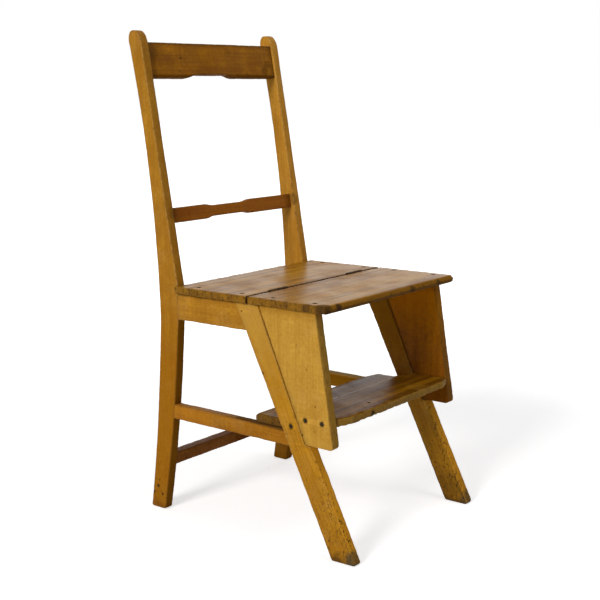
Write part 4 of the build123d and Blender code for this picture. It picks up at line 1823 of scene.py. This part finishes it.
@dataclass
class Studio:
    """Camera, floor, backdrop and lamps."""

    position: Place = (-1.68446, -1.33468, 0.80675)
    yaw: float = 0.889
    pitch: float = -0.170
    roll: float = -0.012
    focal_pixels: float = 1134.36
    image_pixels: float = 600.0
    principal: tuple[float, float] = (292.03, 285.44)
    ambient: float = 0.27
    lamps: tuple[Lamp, ...] = (
        Lamp("key", (-9.6, -0.4, 5.0), (0, 0, 0.5), 3.2, 745.0, (1.0, 0.985, 0.96)),
        Lamp("fill", (0.2, -1.7, 2.9), (0, 0, 0.7), 1.2, 15.0, (1.0, 0.99, 0.98)),
    )

    def camera(self) -> None:
        """Set the camera to the photographed view."""
        deselect_all()
        bpy.ops.object.camera_add(location=self.position)
        camera = bpy.context.object
        flat = math.cos(self.pitch)
        forward = Vector((math.sin(self.yaw) * flat, math.cos(self.yaw) * flat, math.sin(self.pitch)))
        level = Vector((math.cos(self.yaw), -math.sin(self.yaw), 0))
        upright = level.cross(forward)
        right = level * math.cos(self.roll) + upright * math.sin(self.roll)
        up = upright * math.cos(self.roll) - level * math.sin(self.roll)
        camera.rotation_euler = Matrix((right, up, -forward)).transposed().to_euler()
        camera.data.sensor_fit = "HORIZONTAL"
        camera.data.sensor_width = 36
        camera.data.lens = self.focal_pixels / self.image_pixels * 36
        half = self.image_pixels / 2
        camera.data.shift_x = (half - self.principal[0]) / self.image_pixels
        camera.data.shift_y = (self.principal[1] - half) / self.image_pixels
        camera.data.clip_end = 60
        bpy.context.scene.camera = camera

    def light(self, lamp: Lamp) -> None:
        """Hang one lamp.

        Args:
            lamp: The lamp.
        """
        deselect_all()
        bpy.ops.object.light_add(type="AREA", location=lamp.place)
        made = bpy.context.object
        made.name = lamp.name
        made.rotation_euler = (Vector(lamp.target) - Vector(lamp.place)).to_track_quat("-Z", "Y").to_euler()
        made.data.size = lamp.size
        made.data.energy = lamp.watts
        made.data.color = lamp.colour

    def seen(self, graph: Graph) -> Socket:
        """One where the camera sees the background, also by a reflection or through glass.

        Args:
            graph: Graph of the floor or the world.

        Returns:
            The mask.
        """
        path = graph.add("ShaderNodeLightPath").outputs
        mirrored = graph.math("MAXIMUM", path["Is Glossy Ray"], path["Is Transmission Ray"])
        return graph.math("MAXIMUM", path["Is Camera Ray"], mirrored)

    def floor(self) -> None:
        """Lay a pale floor that stays white round the chair and takes its shadow."""
        deselect_all()
        bpy.ops.mesh.primitive_grid_add(x_subdivisions=8, y_subdivisions=8, size=40, location=(0, 0, -0.0005))
        floor = bpy.context.object
        floor.name = "floor"
        material = bpy.data.materials.new("pale_floor")
        material.use_nodes = True
        graph = Graph(material.node_tree)
        shader = material.node_tree.nodes["Principled BSDF"]
        shader.inputs["Base Color"].default_value = (0.82, 0.82, 0.82, 1)
        shader.inputs["Roughness"].default_value = 0.9
        shader.inputs["Specular IOR Level"].default_value = 0.1
        shader.inputs["Emission Color"].default_value = (1, 1, 1, 1)
        away = graph.vector("LENGTH", graph.add("ShaderNodeTexCoord").outputs["Object"])
        glow = graph.ramp(away, 0.7, 2.2, 0.58, 1.0)
        graph.feed(shader.inputs["Emission Strength"], graph.math("MULTIPLY", self.seen(graph), glow))
        floor.data.materials.append(material)

    def world(self) -> None:
        """Light the scene evenly and show white behind it."""
        world = bpy.data.worlds.new("studio")
        bpy.context.scene.world = world
        world.use_nodes = True
        graph = Graph(world.node_tree)
        back = world.node_tree.nodes["Background"]
        back.inputs["Color"].default_value = (1, 1, 1, 1)
        graph.feed(back.inputs["Strength"], graph.ramp(self.seen(graph), 0.0, 1.0, self.ambient, 1.0))

    def build(self) -> None:
        """Set up the whole studio."""
        self.camera()
        self.floor()
        self.world()
        for lamp in self.lamps:
            self.light(lamp)
        bpy.context.scene.view_settings.view_transform = "Standard"


def main() -> None:
    """Build the chair's looks."""
    logging.basicConfig(level=logging.INFO, format="%(message)s")
    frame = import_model()
    site = Site(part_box("rear_seat_board")[1][1])
    workshop = Workshop()
    Studio().build()
    RearFrame(site, workshop, "base").make()
    Underframe(site, workshop, "base").make()
    Flap(site, workshop, "step_flap").make()
    Fittings(workshop, frame["nodes"], site.point(0, SeatBoard.split, 0).y).make()


if __name__ == "__main__":
    main()
